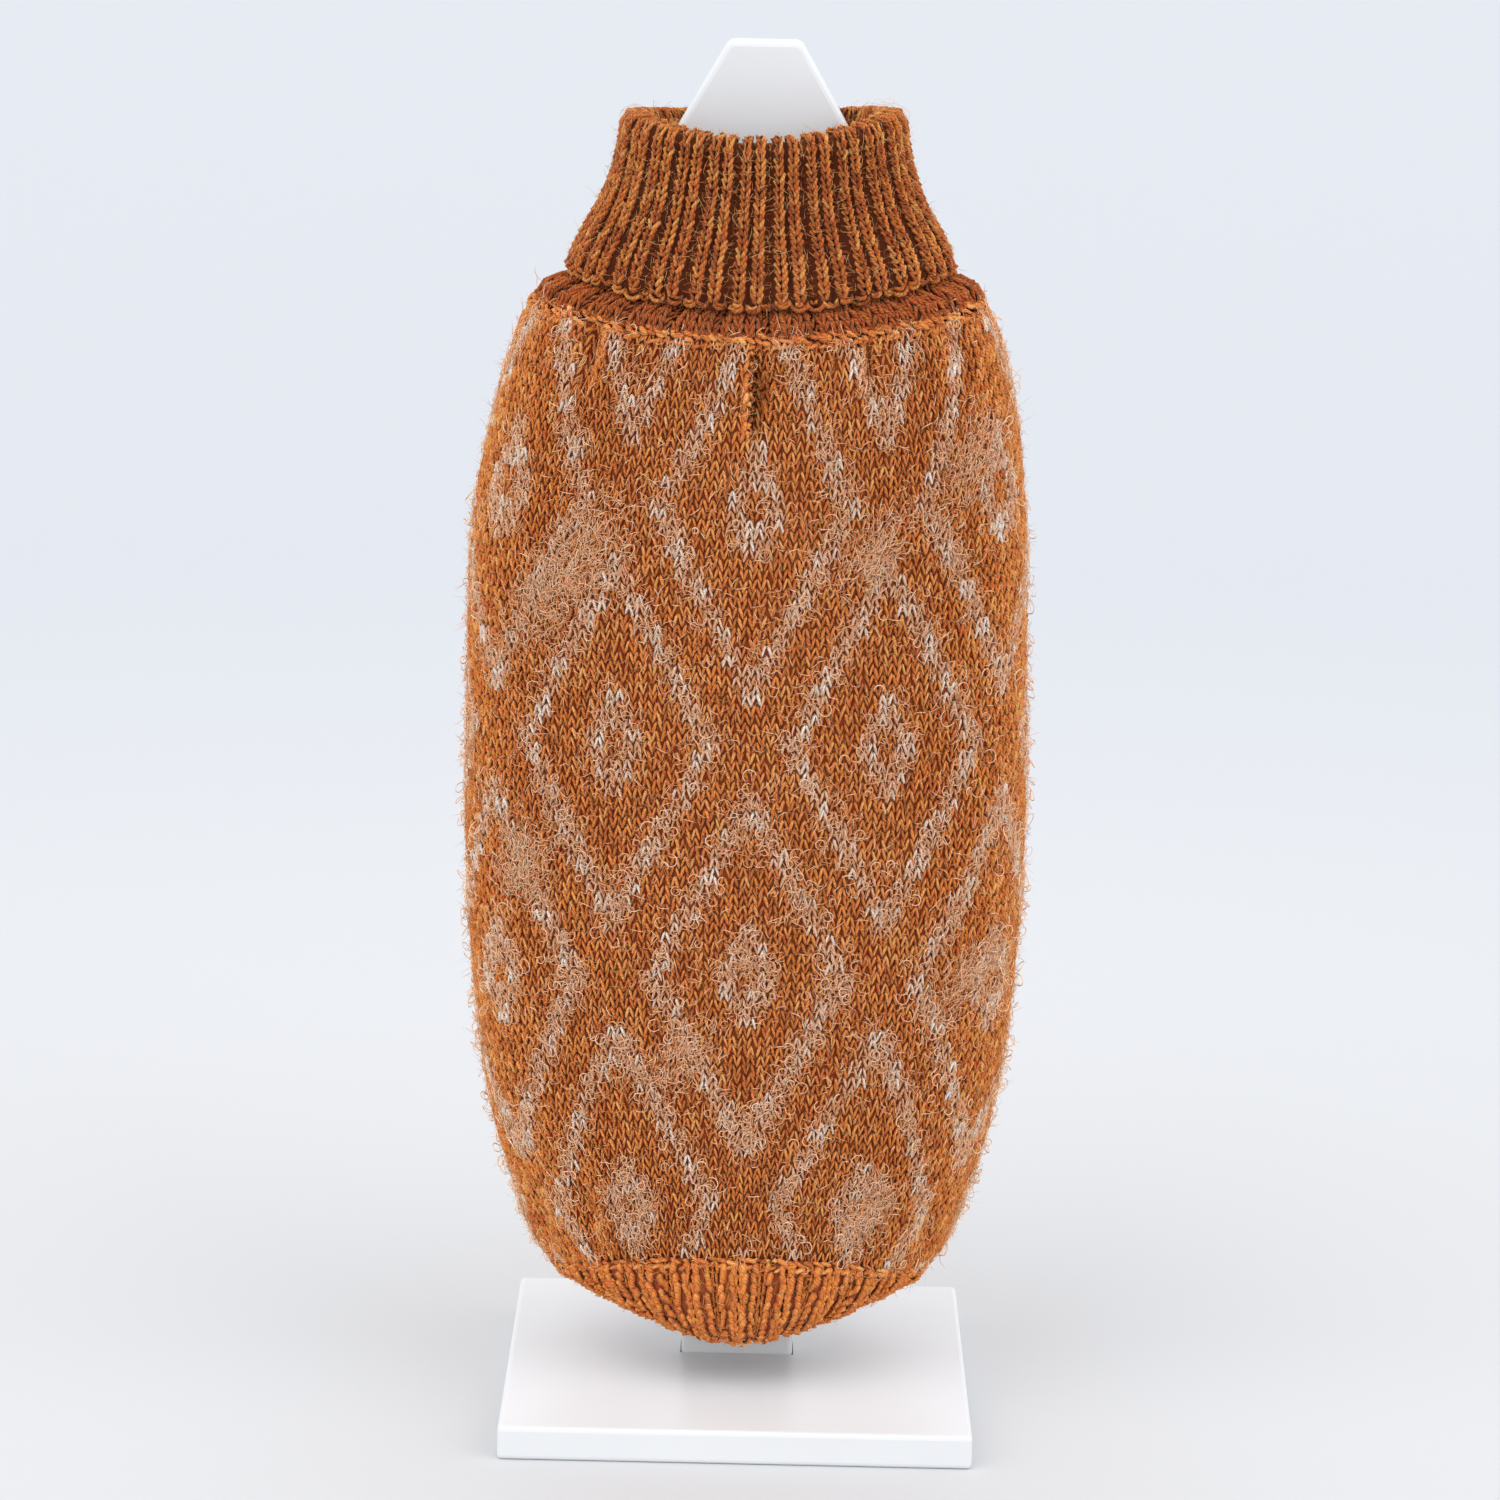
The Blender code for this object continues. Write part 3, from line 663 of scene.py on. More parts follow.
# %% Knit the back panel
BODY_SPAN = 0.5
HEAD_PLACE = 0.1
upper = course < COURSES // 2
back_pieces = [
    knit_stitches(
        name, body_face, wale[chosen], course[chosen] + HEAD_PLACE, BODY_SPAN, yarn, tint=tint
    )
    for name, chosen, yarn, tint in (
        ("back_stitches_upper", ~pale & upper, rust, heather),
        ("back_stitches_lower", ~pale & ~upper, rust, heather),
        ("back_pattern_stitches", pale, cream, pale_heather),
    )
]
tell("back stitches:", back_pieces)

# %% [markdown]
# ## The belly panel
#
# The belly panel is hidden in the photo, so it is plain rust knitting. It has two leg openings: a
# cutter goes through the ground for each, and the stitches there are left out.

# %% Knit the belly panel
LEG_OPENING_WIDTH = 0.040
LEG_OPENING_HEIGHT = 0.048
LEG_OPENING_PLACE = (0.040, 0.302)
CUTTER_DEPTH = 0.05
STITCH_MIDDLE = 0.6
OPENING_MARGIN = 0.0006


def in_leg_opening(points, margin):
    """Whether points lie in a leg opening, widened by a margin."""
    across = (np.abs(points[..., 0]) - LEG_OPENING_PLACE[0]) / (LEG_OPENING_WIDTH / 2 + margin)
    up = (points[..., 2] - LEG_OPENING_PLACE[1]) / (LEG_OPENING_HEIGHT / 2 + margin)
    return (across**2 + up**2 < 1) & (points[..., 1] > MIDDLE)


for side in (-1, 1):
    bpy.ops.mesh.primitive_cylinder_add(
        vertices=48, radius=1.0, depth=CUTTER_DEPTH, rotation=(math.pi / 2, 0.0, 0.0),
        location=(side * LEG_OPENING_PLACE[0], CUTTER_DEPTH, LEG_OPENING_PLACE[1]),
        scale=(LEG_OPENING_WIDTH / 2, LEG_OPENING_HEIGHT / 2, 1.0),
    )
    cutter = bpy.context.active_object
    cut = belly_ground.modifiers.new("leg opening", "BOOLEAN")
    cut.operation = "DIFFERENCE"
    cut.object = cutter
    bpy.context.view_layer.objects.active = belly_ground
    bpy.ops.object.modifier_apply(modifier=cut.name)
    bpy.data.objects.remove(cutter)

belly_wale, belly_course = all_stitches(np.arange(SEAM_WALE + 1, WALES_ROUND - SEAM_WALE))
kept = ~in_leg_opening(body_face(belly_wale, belly_course + STITCH_MIDDLE), OPENING_MARGIN)
belly_places = belly_wale[kept], belly_course[kept] + HEAD_PLACE
belly_pieces = [knit_stitches("belly_stitches", body_face, *belly_places, BODY_SPAN, rust)]
tell("belly stitches:", belly_pieces)

# %% [markdown]
# ## The collar
#
# The collar is knitted in ribs of two knit wales and two purl wales, 24 times around. Its wall is
# one long path: up inside from the neck seam, over the fold and down to the cast-off edge. The
# table lists the middle of that wall.

# %% The collar's wall
RIB_WALL = 0.0024
RIB_RAISE = 0.0018
RIB_SINK = 0.0006
RIB_UNITS = 24
RIB_EDGES = (-0.08, 0.01, 0.27, 0.345, 0.42, 0.68, 0.77, 0.92, 1.01)
RIB_HEIGHTS = (0.0, 1.0, 1.0, 0.45, 1.0, 1.0, 0.0, 0.0, 1.0)
COLLAR_FIRST_RIB = 0.0154
BELLY_DROP = 0.4
RIB_COURSE = 0.0023

# mm: height, half width, depth towards the back, depth towards the belly, drop in the middle
COLLAR_TURNS = metres([
    (359.3, 68.3, 42.6, 38.4, 7.3),
    (361.7, 67.7, 42.4, 38.2, 7.4),
    (363.8, 64.6, 41.3, 37.4, 7.5),
    (364.8, 60.4, 39.4, 36.0, 7.6),
    (366.7, 57.2, 37.4, 34.6, 7.7),
    (372.2, 54.1, 35.8, 33.1, 7.7),
    (390.5, 45.0, 32.5, 30.0, 6.8),
    (409.5, 39.0, 29.4, 27.2, 6.0),
    (414.5, 38.2, 28.8, 26.6, 6.0),
    (416.6, 38.8, 29.4, 27.2, 6.0),
    (417.3, 40.2, 30.8, 28.6, 6.0),
    (416.2, 41.6, 32.3, 30.0, 6.0),
    (411.5, 42.4, 33.0, 30.7, 6.0),
    (401.0, 44.5, 34.7, 32.3, 6.2),
    (389.0, 49.1, 36.5, 34.0, 6.8),
    (380.0, 54.3, 38.1, 35.4, 7.3),
    (374.0, 57.2, 39.3, 36.5, 7.7),
    (368.6, 58.5, 39.9, 37.0, 7.8),
])
rises, outs = np.diff(COLLAR_TURNS[:, 0] - COLLAR_TURNS[:, 4]), np.diff(COLLAR_TURNS[:, 2])
turn_lengths = np.concatenate([[0.0], np.cumsum(np.hypot(rises, outs))])
COLLAR_PATH = np.column_stack([turn_lengths, COLLAR_TURNS])
BAND_LENGTH, LINING_LENGTH, COLLAR_LENGTH = turn_lengths[[3, 5, -1]]
COLLAR_SHAPE = COLLAR_TURNS[-4, 1:4]
EDGE_REACH = 0.002
STEP = 0.0004
UNIT_FEEL = 0.01


def rib_profile(unit_place):
    """How far the knit wales stand out, from 0 to 1, at a place counted in rib units."""
    return np.interp(np.mod(unit_place, 1.0), RIB_EDGES, RIB_HEIGHTS)


def collar_middle(unit_place, length):
    """A point of the middle of the collar's wall, at a length along its path."""
    angle = even_angle(unit_place / RIB_UNITS + COLLAR_FIRST_RIB, COLLAR_SHAPE)
    height, half_width, back_depth, belly_depth, drop = smooth_row(COLLAR_PATH, length)
    x, y = ring(angle, half_width, back_depth, belly_depth)
    fall = drop * np.where(np.cos(angle) > 0, 1.0, BELLY_DROP) * np.cos(angle) ** 2
    return np.stack([x, y, height - fall + NECK_TILT * np.sin(angle)], axis=-1)


def rib_face(unit_place, length, start, end):
    """A point on the ribs of the collar's wall, at a length along its path. The path is felt there
    from start to end, and past its own end the face goes straight on."""
    before, after = unit_place - UNIT_FEEL, unit_place + UNIT_FEEL
    across = collar_middle(after, length) - collar_middle(before, length)
    down = collar_middle(unit_place, end) - collar_middle(unit_place, start)
    past = np.maximum(length - COLLAR_LENGTH, 0.0)[..., None]
    stand = RIB_WALL / 2 - RIB_SINK + RIB_RAISE * rib_profile(unit_place)
    looks = unit(np.cross(down, across))
    return collar_middle(unit_place, length) + unit(down) * past + looks * stand[..., None]


def collar_outside(unit_place, course):
    """The face that shows: inside the neck, over the fold and down."""
    length = np.minimum(LINING_LENGTH + np.asarray(course) * RIB_COURSE, COLLAR_LENGTH + EDGE_REACH)
    start = np.minimum(np.maximum(length - STEP, 0), COLLAR_LENGTH - 2 * STEP)
    return rib_face(unit_place, length, start, np.minimum(length + STEP, COLLAR_LENGTH))


def neck_band(unit_place, course):
    """The band below the fold, counted down to the neck seam."""
    length = BAND_LENGTH - np.asarray(course) * RIB_COURSE
    start = np.maximum(length + STEP, 2 * STEP)
    return rib_face(unit_place, length, start, np.maximum(length - STEP, 0))


COLLAR_COURSES = int((COLLAR_LENGTH - LINING_LENGTH) / RIB_COURSE)
BAND_COURSES = BAND_LENGTH / RIB_COURSE
print("the collar's face has", COLLAR_COURSES, "courses and the band", round(BAND_COURSES, 1))

# %% The collar's ground
GROUND_STEPS = (0.01, 0.27, 0.345, 0.42, 0.68, 0.77, 0.92)
HIDDEN_STAND = 0.0008
SHOWS_WITHIN, HIDES_WITHIN = 0.006, 0.003
unit_places = (np.arange(RIB_UNITS)[:, None] + GROUND_STEPS).ravel()
path_places = np.linspace(0.0, COLLAR_LENGTH, 44)
unit_grid, length_grid = np.meshgrid(unit_places, path_places)
middle = collar_middle(unit_grid, length_grid)
down = np.gradient(middle, axis=0)
across = np.roll(middle, -1, axis=1) - np.roll(middle, 1, axis=1)
looks = unit(np.cross(down, across))
shown_stand = RIB_WALL / 2 - RIB_SINK - GROUND_DEPTH + RIB_RAISE * rib_profile(unit_grid)
shows_far = np.clip((length_grid - LINING_LENGTH) / SHOWS_WITHIN, 0.0, 1.0)
shows_near = 1.0 - np.clip((length_grid - BAND_LENGTH) / HIDES_WITHIN, 0.0, 1.0)
stand_far, stand_near = (
    looks * (HIDDEN_STAND + (shown_stand - HIDDEN_STAND) * shows)[..., None]
    for shows in (shows_far, shows_near)
)
# the collar's ground wool is painted very dark, as the shade in the grooves between the ribs
collar_ground = add_cloth("collar_ground", middle + stand_far, middle - stand_near, True, groove_shade)
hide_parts("turtleneck_collar")
tell("collar ground:", [collar_ground])

# %% [markdown]
# ## Ribbing
#
# The two knit wales of each rib stand out as columns of legs, and the purl wales sink between them,
# where only short bars of yarn show in the shadow. The ribs' yarn is a darker copy of the rust
# wool, painted shade, and the bars' tone is painted darker still. The band below the collar is half
# hidden in the fold's shade, so its yarn's tone is painted darker as shade, and its purl wales are
# closed up.

# %% Knit the ribs
PURL_PLACE = 0.845
BOW = np.array([-1.0, -0.45, 0.45, 1.0])
BOW_DROP, BOW_TILT, BOW_SINK = 0.35, 0.35, 0.0006
PLACE_SPREAD, ROW_SPREAD, BAR_LIFT_SPREAD = 0.02, 0.14, 0.0003
BAR_THICKNESS, BAR_SPREAD = 0.0006, 0.16
BAR_SHADE = 0.05


def rib_knit(name, face, courses, reach, yarn, wales, half_span, even=2.2, **more):
    """The knit wales of a ribbed face."""
    units, rows, wales = np.meshgrid(np.arange(RIB_UNITS), courses, wales)
    heads = (units + wales).ravel(), rows.ravel()
    return knit_stitches(name, face, *heads, half_span, yarn, reach, even=even, **more)


def rib_purl(name, face, courses, half_span, lift, yarn):
    """The short bars of yarn between the ribs, bent like small bows and none quite level."""
    units, rows = np.meshgrid(np.arange(RIB_UNITS) + PURL_PLACE, courses)
    place = units.ravel() + normal(0, PLACE_SPREAD, units.size)
    row = rows.ravel() + normal(0, ROW_SPREAD, rows.size)
    path_units = place[:, None] + half_span * BOW
    path_rows = row[:, None] + BOW_DROP * BOW**2 + normal(0, BOW_TILT, (rows.size, 1)) * BOW
    uneven = normal(0, BAR_LIFT_SPREAD, (rows.size, 1))
    path, looks = on_face(face, path_units, path_rows, lift + uneven - BOW_SINK * BOW**2)
    size = normal(1.0, BAR_SPREAD, len(path)) * BAR_THICKNESS
    # the bars' tone is painted darker, as the shade between the ribs
    shade = shaded_heather(place, row) + BAR_SHADE
    return add_strands(name, path, looks, size, size, 3, shade, yarn)


collar_courses = np.arange(0.6, COLLAR_COURSES + 0.4)
band_courses = np.arange(BAND_COURSES - 0.7, -3.2, -0.85)
collar_pieces = [
    rib_knit("collar_ribs", collar_outside, collar_courses, -1.2, shaded_ribbing, (0.13, 0.56), 0.15,
             plump=1.15),
    rib_purl("collar_purl_bars", collar_outside, collar_courses, 0.11, -0.0009, shaded_ribbing),
    # the band's tone is painted darker, as the shade under the fold
    rib_knit("neck_band_ribs", neck_band, band_courses, 1.1, shaded_ribbing, (0.06, 0.31, 0.56, 0.83),
             0.13, tint=shaded_heather),
]
tell("collar:", collar_pieces)

# %% [markdown]
# ## The hem
#
# The hem is ribbed too. It draws the wide body in under itself, so its ribs fan out from the edge.
# It is stretched, so the legs of its stitches run side by side, and a thin column of legs shows
# even in the purl wales.

# %% The hem's face and ground
HEM_EDGE_SIZES = (0.0405, 0.0380, 0.0340, 0.0)
HEM_TOP_SIZES = (0.0620, 0.0460, 0.0410)
HEM_BULGE = 1.5
HEM_FIRST_RIB = -0.0140
HEM_COURSES = 13
SEAM_GAP = 0.0005


def hem_wall(unit_place, share):
    """A point of the hem's face without its ribs, a share of the way down from the seam."""
    angle = even_angle(unit_place / RIB_UNITS + HEM_FIRST_RIB, HEM_TOP_SIZES)
    seam = seam_height(HEM_SEAM, angle) - SEAM_GAP
    share = np.clip(share, 0.0, 1.05)
    sizes = [
        start + (end - start) * share**HEM_BULGE
        for start, end in zip(smooth_row(BODY_SECTIONS, seam), HEM_EDGE_SIZES)
    ]
    x, y = ring(angle, *sizes)
    height = seam + (seam_height(HEM_EDGE, angle) - seam) * np.sin(share * math.pi / 2)
    return np.stack([x, y, height], axis=-1)


def hem_face(unit_place, course):
    """The hem's face with its ribs, counted in courses down from the seam."""
    share = np.asarray(course) / HEM_COURSES
    across = hem_wall(unit_place + UNIT_FEEL, share) - hem_wall(unit_place - UNIT_FEEL, share)
    above = np.maximum(share - UNIT_FEEL, 0)
    down = hem_wall(unit_place, share + UNIT_FEEL) - hem_wall(unit_place, above)
    looks = unit(np.cross(down, across))
    stand = RIB_RAISE * rib_profile(unit_place) * np.clip(0.5 + share * 3, 0.5, 1.0) - RIB_SINK
    return hem_wall(unit_place, share) + looks * stand[..., None]


hem_rows = np.linspace(-0.3, HEM_COURSES, 14)
hem_ground = ground_cloth("hem_ground", hem_face, unit_places, hem_rows, True, rust)
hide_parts("hem_rib")
hem_courses = np.arange(0.5, HEM_COURSES - 0.3)
hem_look = {"even": 1.0, "tint": even_heather}
hem_pieces = [
    rib_knit("hem_ribs", hem_face, hem_courses, 1.05, rust, (0.12, 0.57), 0.155, apart=0.55,
             plump=1.4, **hem_look),
    rib_knit("hem_purl_ribs", hem_face, hem_courses, 1.0, rust, (0.345, 0.845), 0.08, apart=0.5,
             plump=1.5, **hem_look),
    rib_purl("hem_purl_bars", hem_face, hem_courses, 0.12, 0.0004, rust),
]
tell("hem:", hem_pieces)

# %% [markdown]
# ## Leg cuffs
#
# Each leg opening has a plain narrow band, picked up around it and knitted outwards.

# %% Knit the leg cuffs
CUFF_LENGTH = 0.013
CUFF_DRAW_IN = 0.90
CUFF_WALES = 40
CUFF_COURSES = 5


def cuff_face(side):
    """The outer face of one cuff, by wale around it and course out from the belly."""

    def face(wale, course):
        turn = side * 2 * math.pi * np.asarray(wale) / CUFF_WALES
        share = np.asarray(course) / CUFF_COURSES
        narrowing = 1 - (1 - CUFF_DRAW_IN) * np.maximum(share, 0.0)
        x = LEG_OPENING_PLACE[0] + LEG_OPENING_WIDTH / 2 * narrowing * np.cos(turn)
        z = LEG_OPENING_PLACE[1] + LEG_OPENING_HEIGHT / 2 * narrowing * np.sin(turn)
        half_width, _, belly_depth, _ = smooth_row(BODY_SECTIONS, z)
        y = MIDDLE + belly_depth * np.sqrt(1 - (x / half_width) ** 2) + share * CUFF_LENGTH
        return np.stack([side * x, y, z], axis=-1)

    return face


cuffs = []
cuff_wales, cuff_rows = np.arange(0, CUFF_WALES, 0.5), np.linspace(-0.6, 5, 8)
for name, side in (("left", -1.0), ("right", 1.0)):
    face = cuff_face(side)
    cuff_ground = ground_cloth(f"cuff_ground_{name}", face, cuff_wales, cuff_rows, closed=True)
    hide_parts(f"leg_cuff_{name}")
    grid = np.meshgrid(np.arange(0.0, CUFF_WALES), np.arange(0.0, CUFF_COURSES - 0.2))
    spots = [values.ravel() for values in grid]
    stitches = knit_stitches(f"cuff_stitches_{name}", face, *spots, BODY_SPAN, rust)
    cuffs.append((cuff_ground, [stitches]))
for _, pieces in cuffs:
    tell("cuff:", pieces)

# %% [markdown]
# ## Seams and cast-off edges
#
# The panels are sewn to the collar and the hem with a ridge of slanted loops, and to each other
# with a flatter one. The collar, the hem and the cuffs end in a cast-off edge, a chain of small
# round loops.

# %% Sew the seams and cast off the edges
SLANT = np.array([-1.0, -0.4, 0.4, 1.0])
LOOP_REACH = 0.75
LOOP_SIZES = (1.0, 0.5)
EDGE_YARN = 0.0009


def chain(name, face, course, count, wales_round, slant, lift, thickness):
    """A chain of slanted loops around a face at one course."""
    pitch = wales_round / count
    place = np.arange(count) * pitch + normal(0, 0.10 * pitch, count)
    wale = place[:, None] + pitch * LOOP_REACH * SLANT
    lean = slant * uniform(0.4, 1.8, (count, 1))
    row = course + lean * SLANT + normal(0, 0.14, (count, 1))
    lifts = lift + normal(0, 0.0002, (count, 1)) - 0.0008 * SLANT**2
    path, looks = on_face(face, wale, row, lifts)
    size = normal(1.0, 0.15, count) * thickness
    return add_strands(name, path, looks, size, size, 4, heather(place, row[:, 0]), rust)


def side_seam(name, wale):
    """A row of slanted loops down the body, where its two panels are sewn together."""
    course = np.arange(0.0, COURSES, 0.8)
    across = wale + 0.45 * SLANT + normal(0, 0.06, (len(course), 1))
    row = course[:, None] + LOOP_REACH * SLANT * math.copysign(1.0, wale)
    path, looks = on_face(body_face, across, row, 0.0008 - 0.0009 * SLANT**2)
    size = normal(0.00075, 0.0001, len(course))
    return add_strands(name, path, looks, size, size, 3, heather(across[:, 0], course), rust)


def scallops(name, face, course, count, wales_round, width, height, yarn):
    """A cast-off edge of small round loops that hang from one course, two strands to each."""
    turn = np.linspace(-1.0, 1.0, 6) * math.pi / 2
    strands = count * len(LOOP_SIZES)
    place = np.repeat((np.arange(count) + 0.5) * wales_round / count, len(LOOP_SIZES))
    place = place + normal(0, 0.16 * width, strands)
    size = normal(1.0, 0.14, strands) * np.tile(LOOP_SIZES, count)
    wale = place[:, None] + (size * width)[:, None] * np.sin(turn)
    hang = np.cos(turn) * height * size[:, None]
    row = course + hang + normal(0, 0.16, (strands, 1))
    lifts = 0.0002 + 0.0008 * np.cos(turn) * (1.3 - size)[:, None]
    path, looks = on_face(face, wale, row, lifts)
    thick = normal(1.0, 0.14, strands) * EDGE_YARN
    return add_strands(name, path, looks, thick, thick, 3, heather(place, row[:, 3]), yarn)


back_pieces += [
    chain("neck_seam", body_face, -0.15, 150, WALES_ROUND, 0.28, 0.0010, 0.00075),
    chain("neck_seam_low", body_face, 0.45, 150, WALES_ROUND, -0.24, 0.0005, 0.0007),
]
band_end = BAND_COURSES - 0.25
collar_pieces.append(
    chain("neck_seam_high", neck_band, band_end, 150, RIB_UNITS, 0.3, 0.0004, 0.0008)
)
back_pieces += [
    side_seam("left_side_seam", -SEAM_WALE - 0.5),
    side_seam("right_side_seam", SEAM_WALE + 0.5),
]
hem_pieces += [
    chain("hem_seam", hem_face, 0.1, 120, RIB_UNITS, 0.35, 0.0008, 0.0008),
    chain("hem_seam_low", hem_face, 0.75, 120, RIB_UNITS, -0.30, 0.0004, 0.0007),
]
collar_end = COLLAR_COURSES - 0.5
collar_pieces.append(
    scallops("collar_edge", collar_outside, collar_end, 66, RIB_UNITS, 0.18, 1.1, shaded_ribbing)
)
hem_end = HEM_COURSES - 0.7
hem_pieces.append(scallops("hem_edge", hem_face, hem_end, 66, RIB_UNITS, 0.17, 0.9, rust))
cuff_end = CUFF_COURSES - 0.6
for (cuff_ground, pieces), side in zip(cuffs, (-1.0, 1.0)):
    name = cuff_ground.name.replace("ground", "edge")
    pieces.append(scallops(name, cuff_face(side), cuff_end, 30, CUFF_WALES, 0.7, 0.5, rust))
tell("sewn on to the back:", back_pieces[3:])

# %% [markdown]
# ## Haze, curls and loose hairs
#
# The pale yarn is brushed: a pinkish haze of long fibres lies over the pattern, thick in some
# places and thin in others, with small curls here and there. All the wool has a few loose hairs
# that soften its outline.

# %% Grow the fibres
Fibre = namedtuple("Fibre", "stations thickness darkest material")
HAZE_FIBRE = Fibre(4, (0.00009, 0.00015), 0.0, haze)
CURL_FIBRE = Fibre(9, (0.00012, 0.00020), 0.3, haze)
HAIR_FIBRE = Fibre(4, (0.00004, 0.00008), 0.0, down_hair)
RIB_PITCH = (0.0135, RIB_COURSE)
FIBRE_ROOT = 0.0004
ARCH_SPREAD = 0.0004


def add_fibres(name, face, kind, start, heading, length, curl, arch, off):
    """Fibres that start on a face, run along it in a bending line and rise off it."""
    pitch = (STITCH, STITCH) if face is body_face else RIB_PITCH
    shares = np.linspace(0.0, 1.0, kind.stations)
    turn = heading[:, None] + curl[:, None] * shares
    step = (length / (kind.stations - 1))[:, None]
    places = []
    for first, run, size in zip(start, (np.cos(turn), np.sin(turn)), pitch):
        run[:, 1:] = np.cumsum(run[:, :-1] * step / size, axis=1)
        run[:, 0] = 0.0
        places.append(first[:, None] + run)
    lifts = FIBRE_ROOT + arch[:, None] * np.sin(math.pi * shares) + off[:, None] * shares**2
    path, looks = on_face(face, *places, lifts)
    thin, shade = uniform(*kind.thickness, len(path)), uniform(kind.darkest, 1, len(path))
    return add_strands(name, path, looks, thin, thin, 3, shade, kind.material)


# wale, course, half length, half width, share of the fibres
BRUSHED_PATCHES = np.array([
    (-19.0, 25.0, 9.0, 3.6, 0.34),
    (12.5, 22.0, 5.0, 2.6, 0.12),
    (-24.0, 55.0, 5.0, 3.0, 0.12),
    (-7.0, 75.0, 5.0, 3.0, 0.10),
    (24.0, 66.0, 5.0, 2.6, 0.10),
    (24.0, 14.0, 6.0, 3.0, 0.10),
    (16.0, 91.0, 4.0, 2.6, 0.12),
])
BRUSHING = math.radians(-55.0)
EDGE_WALE = 29
EDGE_STAND = 2.3


def thickness_of_haze(wale, course):
    """How thick the haze lies, in uneven waves."""
    wave = np.sin(wale * 0.31 + 2.0 * np.sin(course * 0.11))
    wave = wave * np.sin(course * 0.23 + wale * 0.09 + 0.8)
    return 0.35 + np.clip(0.5 + 0.5 * wave, 0.0, 1.0)


def on_pattern(weight, count, spread_across, spread_down):
    """Places about the pattern's stitches, more where the weight is greater, and headings."""
    picked = choice(len(weight), count, p=weight / weight.sum())
    place = wale[pale][picked] + normal(0, spread_across, count)
    row = course[pale][picked] + normal(0.3, spread_down, count)
    return place, row, uniform(0, 2 * math.pi, count)


def loose(count, lengths, curl, arch, off):
    """How long loose fibres are, how they curl and how far they rise."""
    length, curl = uniform(*lengths, count), normal(0, curl, count)
    return length, curl, np.abs(normal(arch, ARCH_SPREAD, count)), np.abs(normal(0, off, count))


def grow_haze(on_lines, in_patches):
    """Long brushed fibres over the pattern, and thick patches that were brushed one way."""
    weight = thickness_of_haze(wale[pale], course[pale])
    place, row, heading = on_pattern(weight, on_lines, 0.95, 1.0)
    shares = BRUSHED_PATCHES[:, 4]
    which = choice(len(shares), in_patches, p=shares / shares.sum())
    middle_wale, middle_course, half_length, half_width, _ = BRUSHED_PATCHES[which].T
    far = normal(0, 0.5, in_patches) * half_length
    aside = normal(0, 0.5, in_patches) * half_width
    place = np.append(place, middle_wale + far * math.cos(BRUSHING) - aside * math.sin(BRUSHING))
    row = np.append(row, middle_course + far * math.sin(BRUSHING) + aside * math.cos(BRUSHING))
    heading = np.append(heading, normal(BRUSHING, 0.45, in_patches))
    bend = loose(on_lines + in_patches, (0.0030, 0.0075), 2.2, 0.0009, 0.0007)
    return add_fibres("brushed_haze", body_face, HAZE_FIBRE, (place, row), heading, *bend)


def grow_curls(count):
    """Small curls of the pale yarn, almost closed rings. They stand off at the body's edges."""
    weight = 0.3 + np.clip((course[pale] - 25.0) / 30.0, 0.0, 1.0)
    place, row, heading = on_pattern(weight, count, 0.9, 0.9)
    curl = choice([-1.0, 1.0], count) * uniform(4.2, 7.0, count)
    length = uniform(0.0055, 0.0110, count)
    stands = np.where(np.abs(place) > EDGE_WALE, EDGE_STAND, 1.0)
    rise = (uniform(0.0006, 0.0016, count) * stands, uniform(0.0, 0.0008, count) * stands)
    bend = (heading, length, curl, *rise)
    return add_fibres("pattern_curls", body_face, CURL_FIBRE, (place, row), *bend)


def grow_hairs(name, face, wales, courses, count, off=0.0016):
    """Loose hairs all over a face, some of them standing well off it."""
    start = (uniform(*wales, count), uniform(*courses, count))
    heading = uniform(0, 2 * math.pi, count)
    bend = loose(count, (0.0025, 0.0065), 1.4, 0.0006, off)
    return add_fibres(name, face, HAIR_FIBRE, start, heading, *bend)


down, around = (0, COURSES), (0, RIB_UNITS)
back_pieces += [
    grow_haze(12600, 3200),
    grow_curls(1300),
    grow_hairs("back_hairs", body_face, (-SEAM_WALE, SEAM_WALE), down, 9000),
    grow_hairs("left_edge_hairs", body_face, (-41, -30), down, 900, 0.0026),
    grow_hairs("right_edge_hairs", body_face, (30, 41), down, 900, 0.0026),
]
belly_pieces.append(grow_hairs("belly_hairs", body_face, (SEAM_WALE, 96), (0, 88), 1500))
down = (2, COLLAR_COURSES)
collar_pieces.append(grow_hairs("collar_hairs", collar_outside, around, down, 4000, 0.002))
hem_pieces.append(grow_hairs("hem_hairs", hem_face, around, (0, HEM_COURSES), 900))
tell("fibres on the back:", back_pieces[-5:])

# %% Sheets
print("declared", 4 + len(cuffs), "sheets")

# %% [markdown]
# ## The painted stand
#
# The stand is fibreboard under a smooth satin white paint, with a very faint orange peel and a
# little grey in soft patches.

# %% Paint the stand
PAINT = (0.74, 0.75, 0.76, 1.0)
DUSTY_PAINT = (0.69, 0.70, 0.72, 1.0)


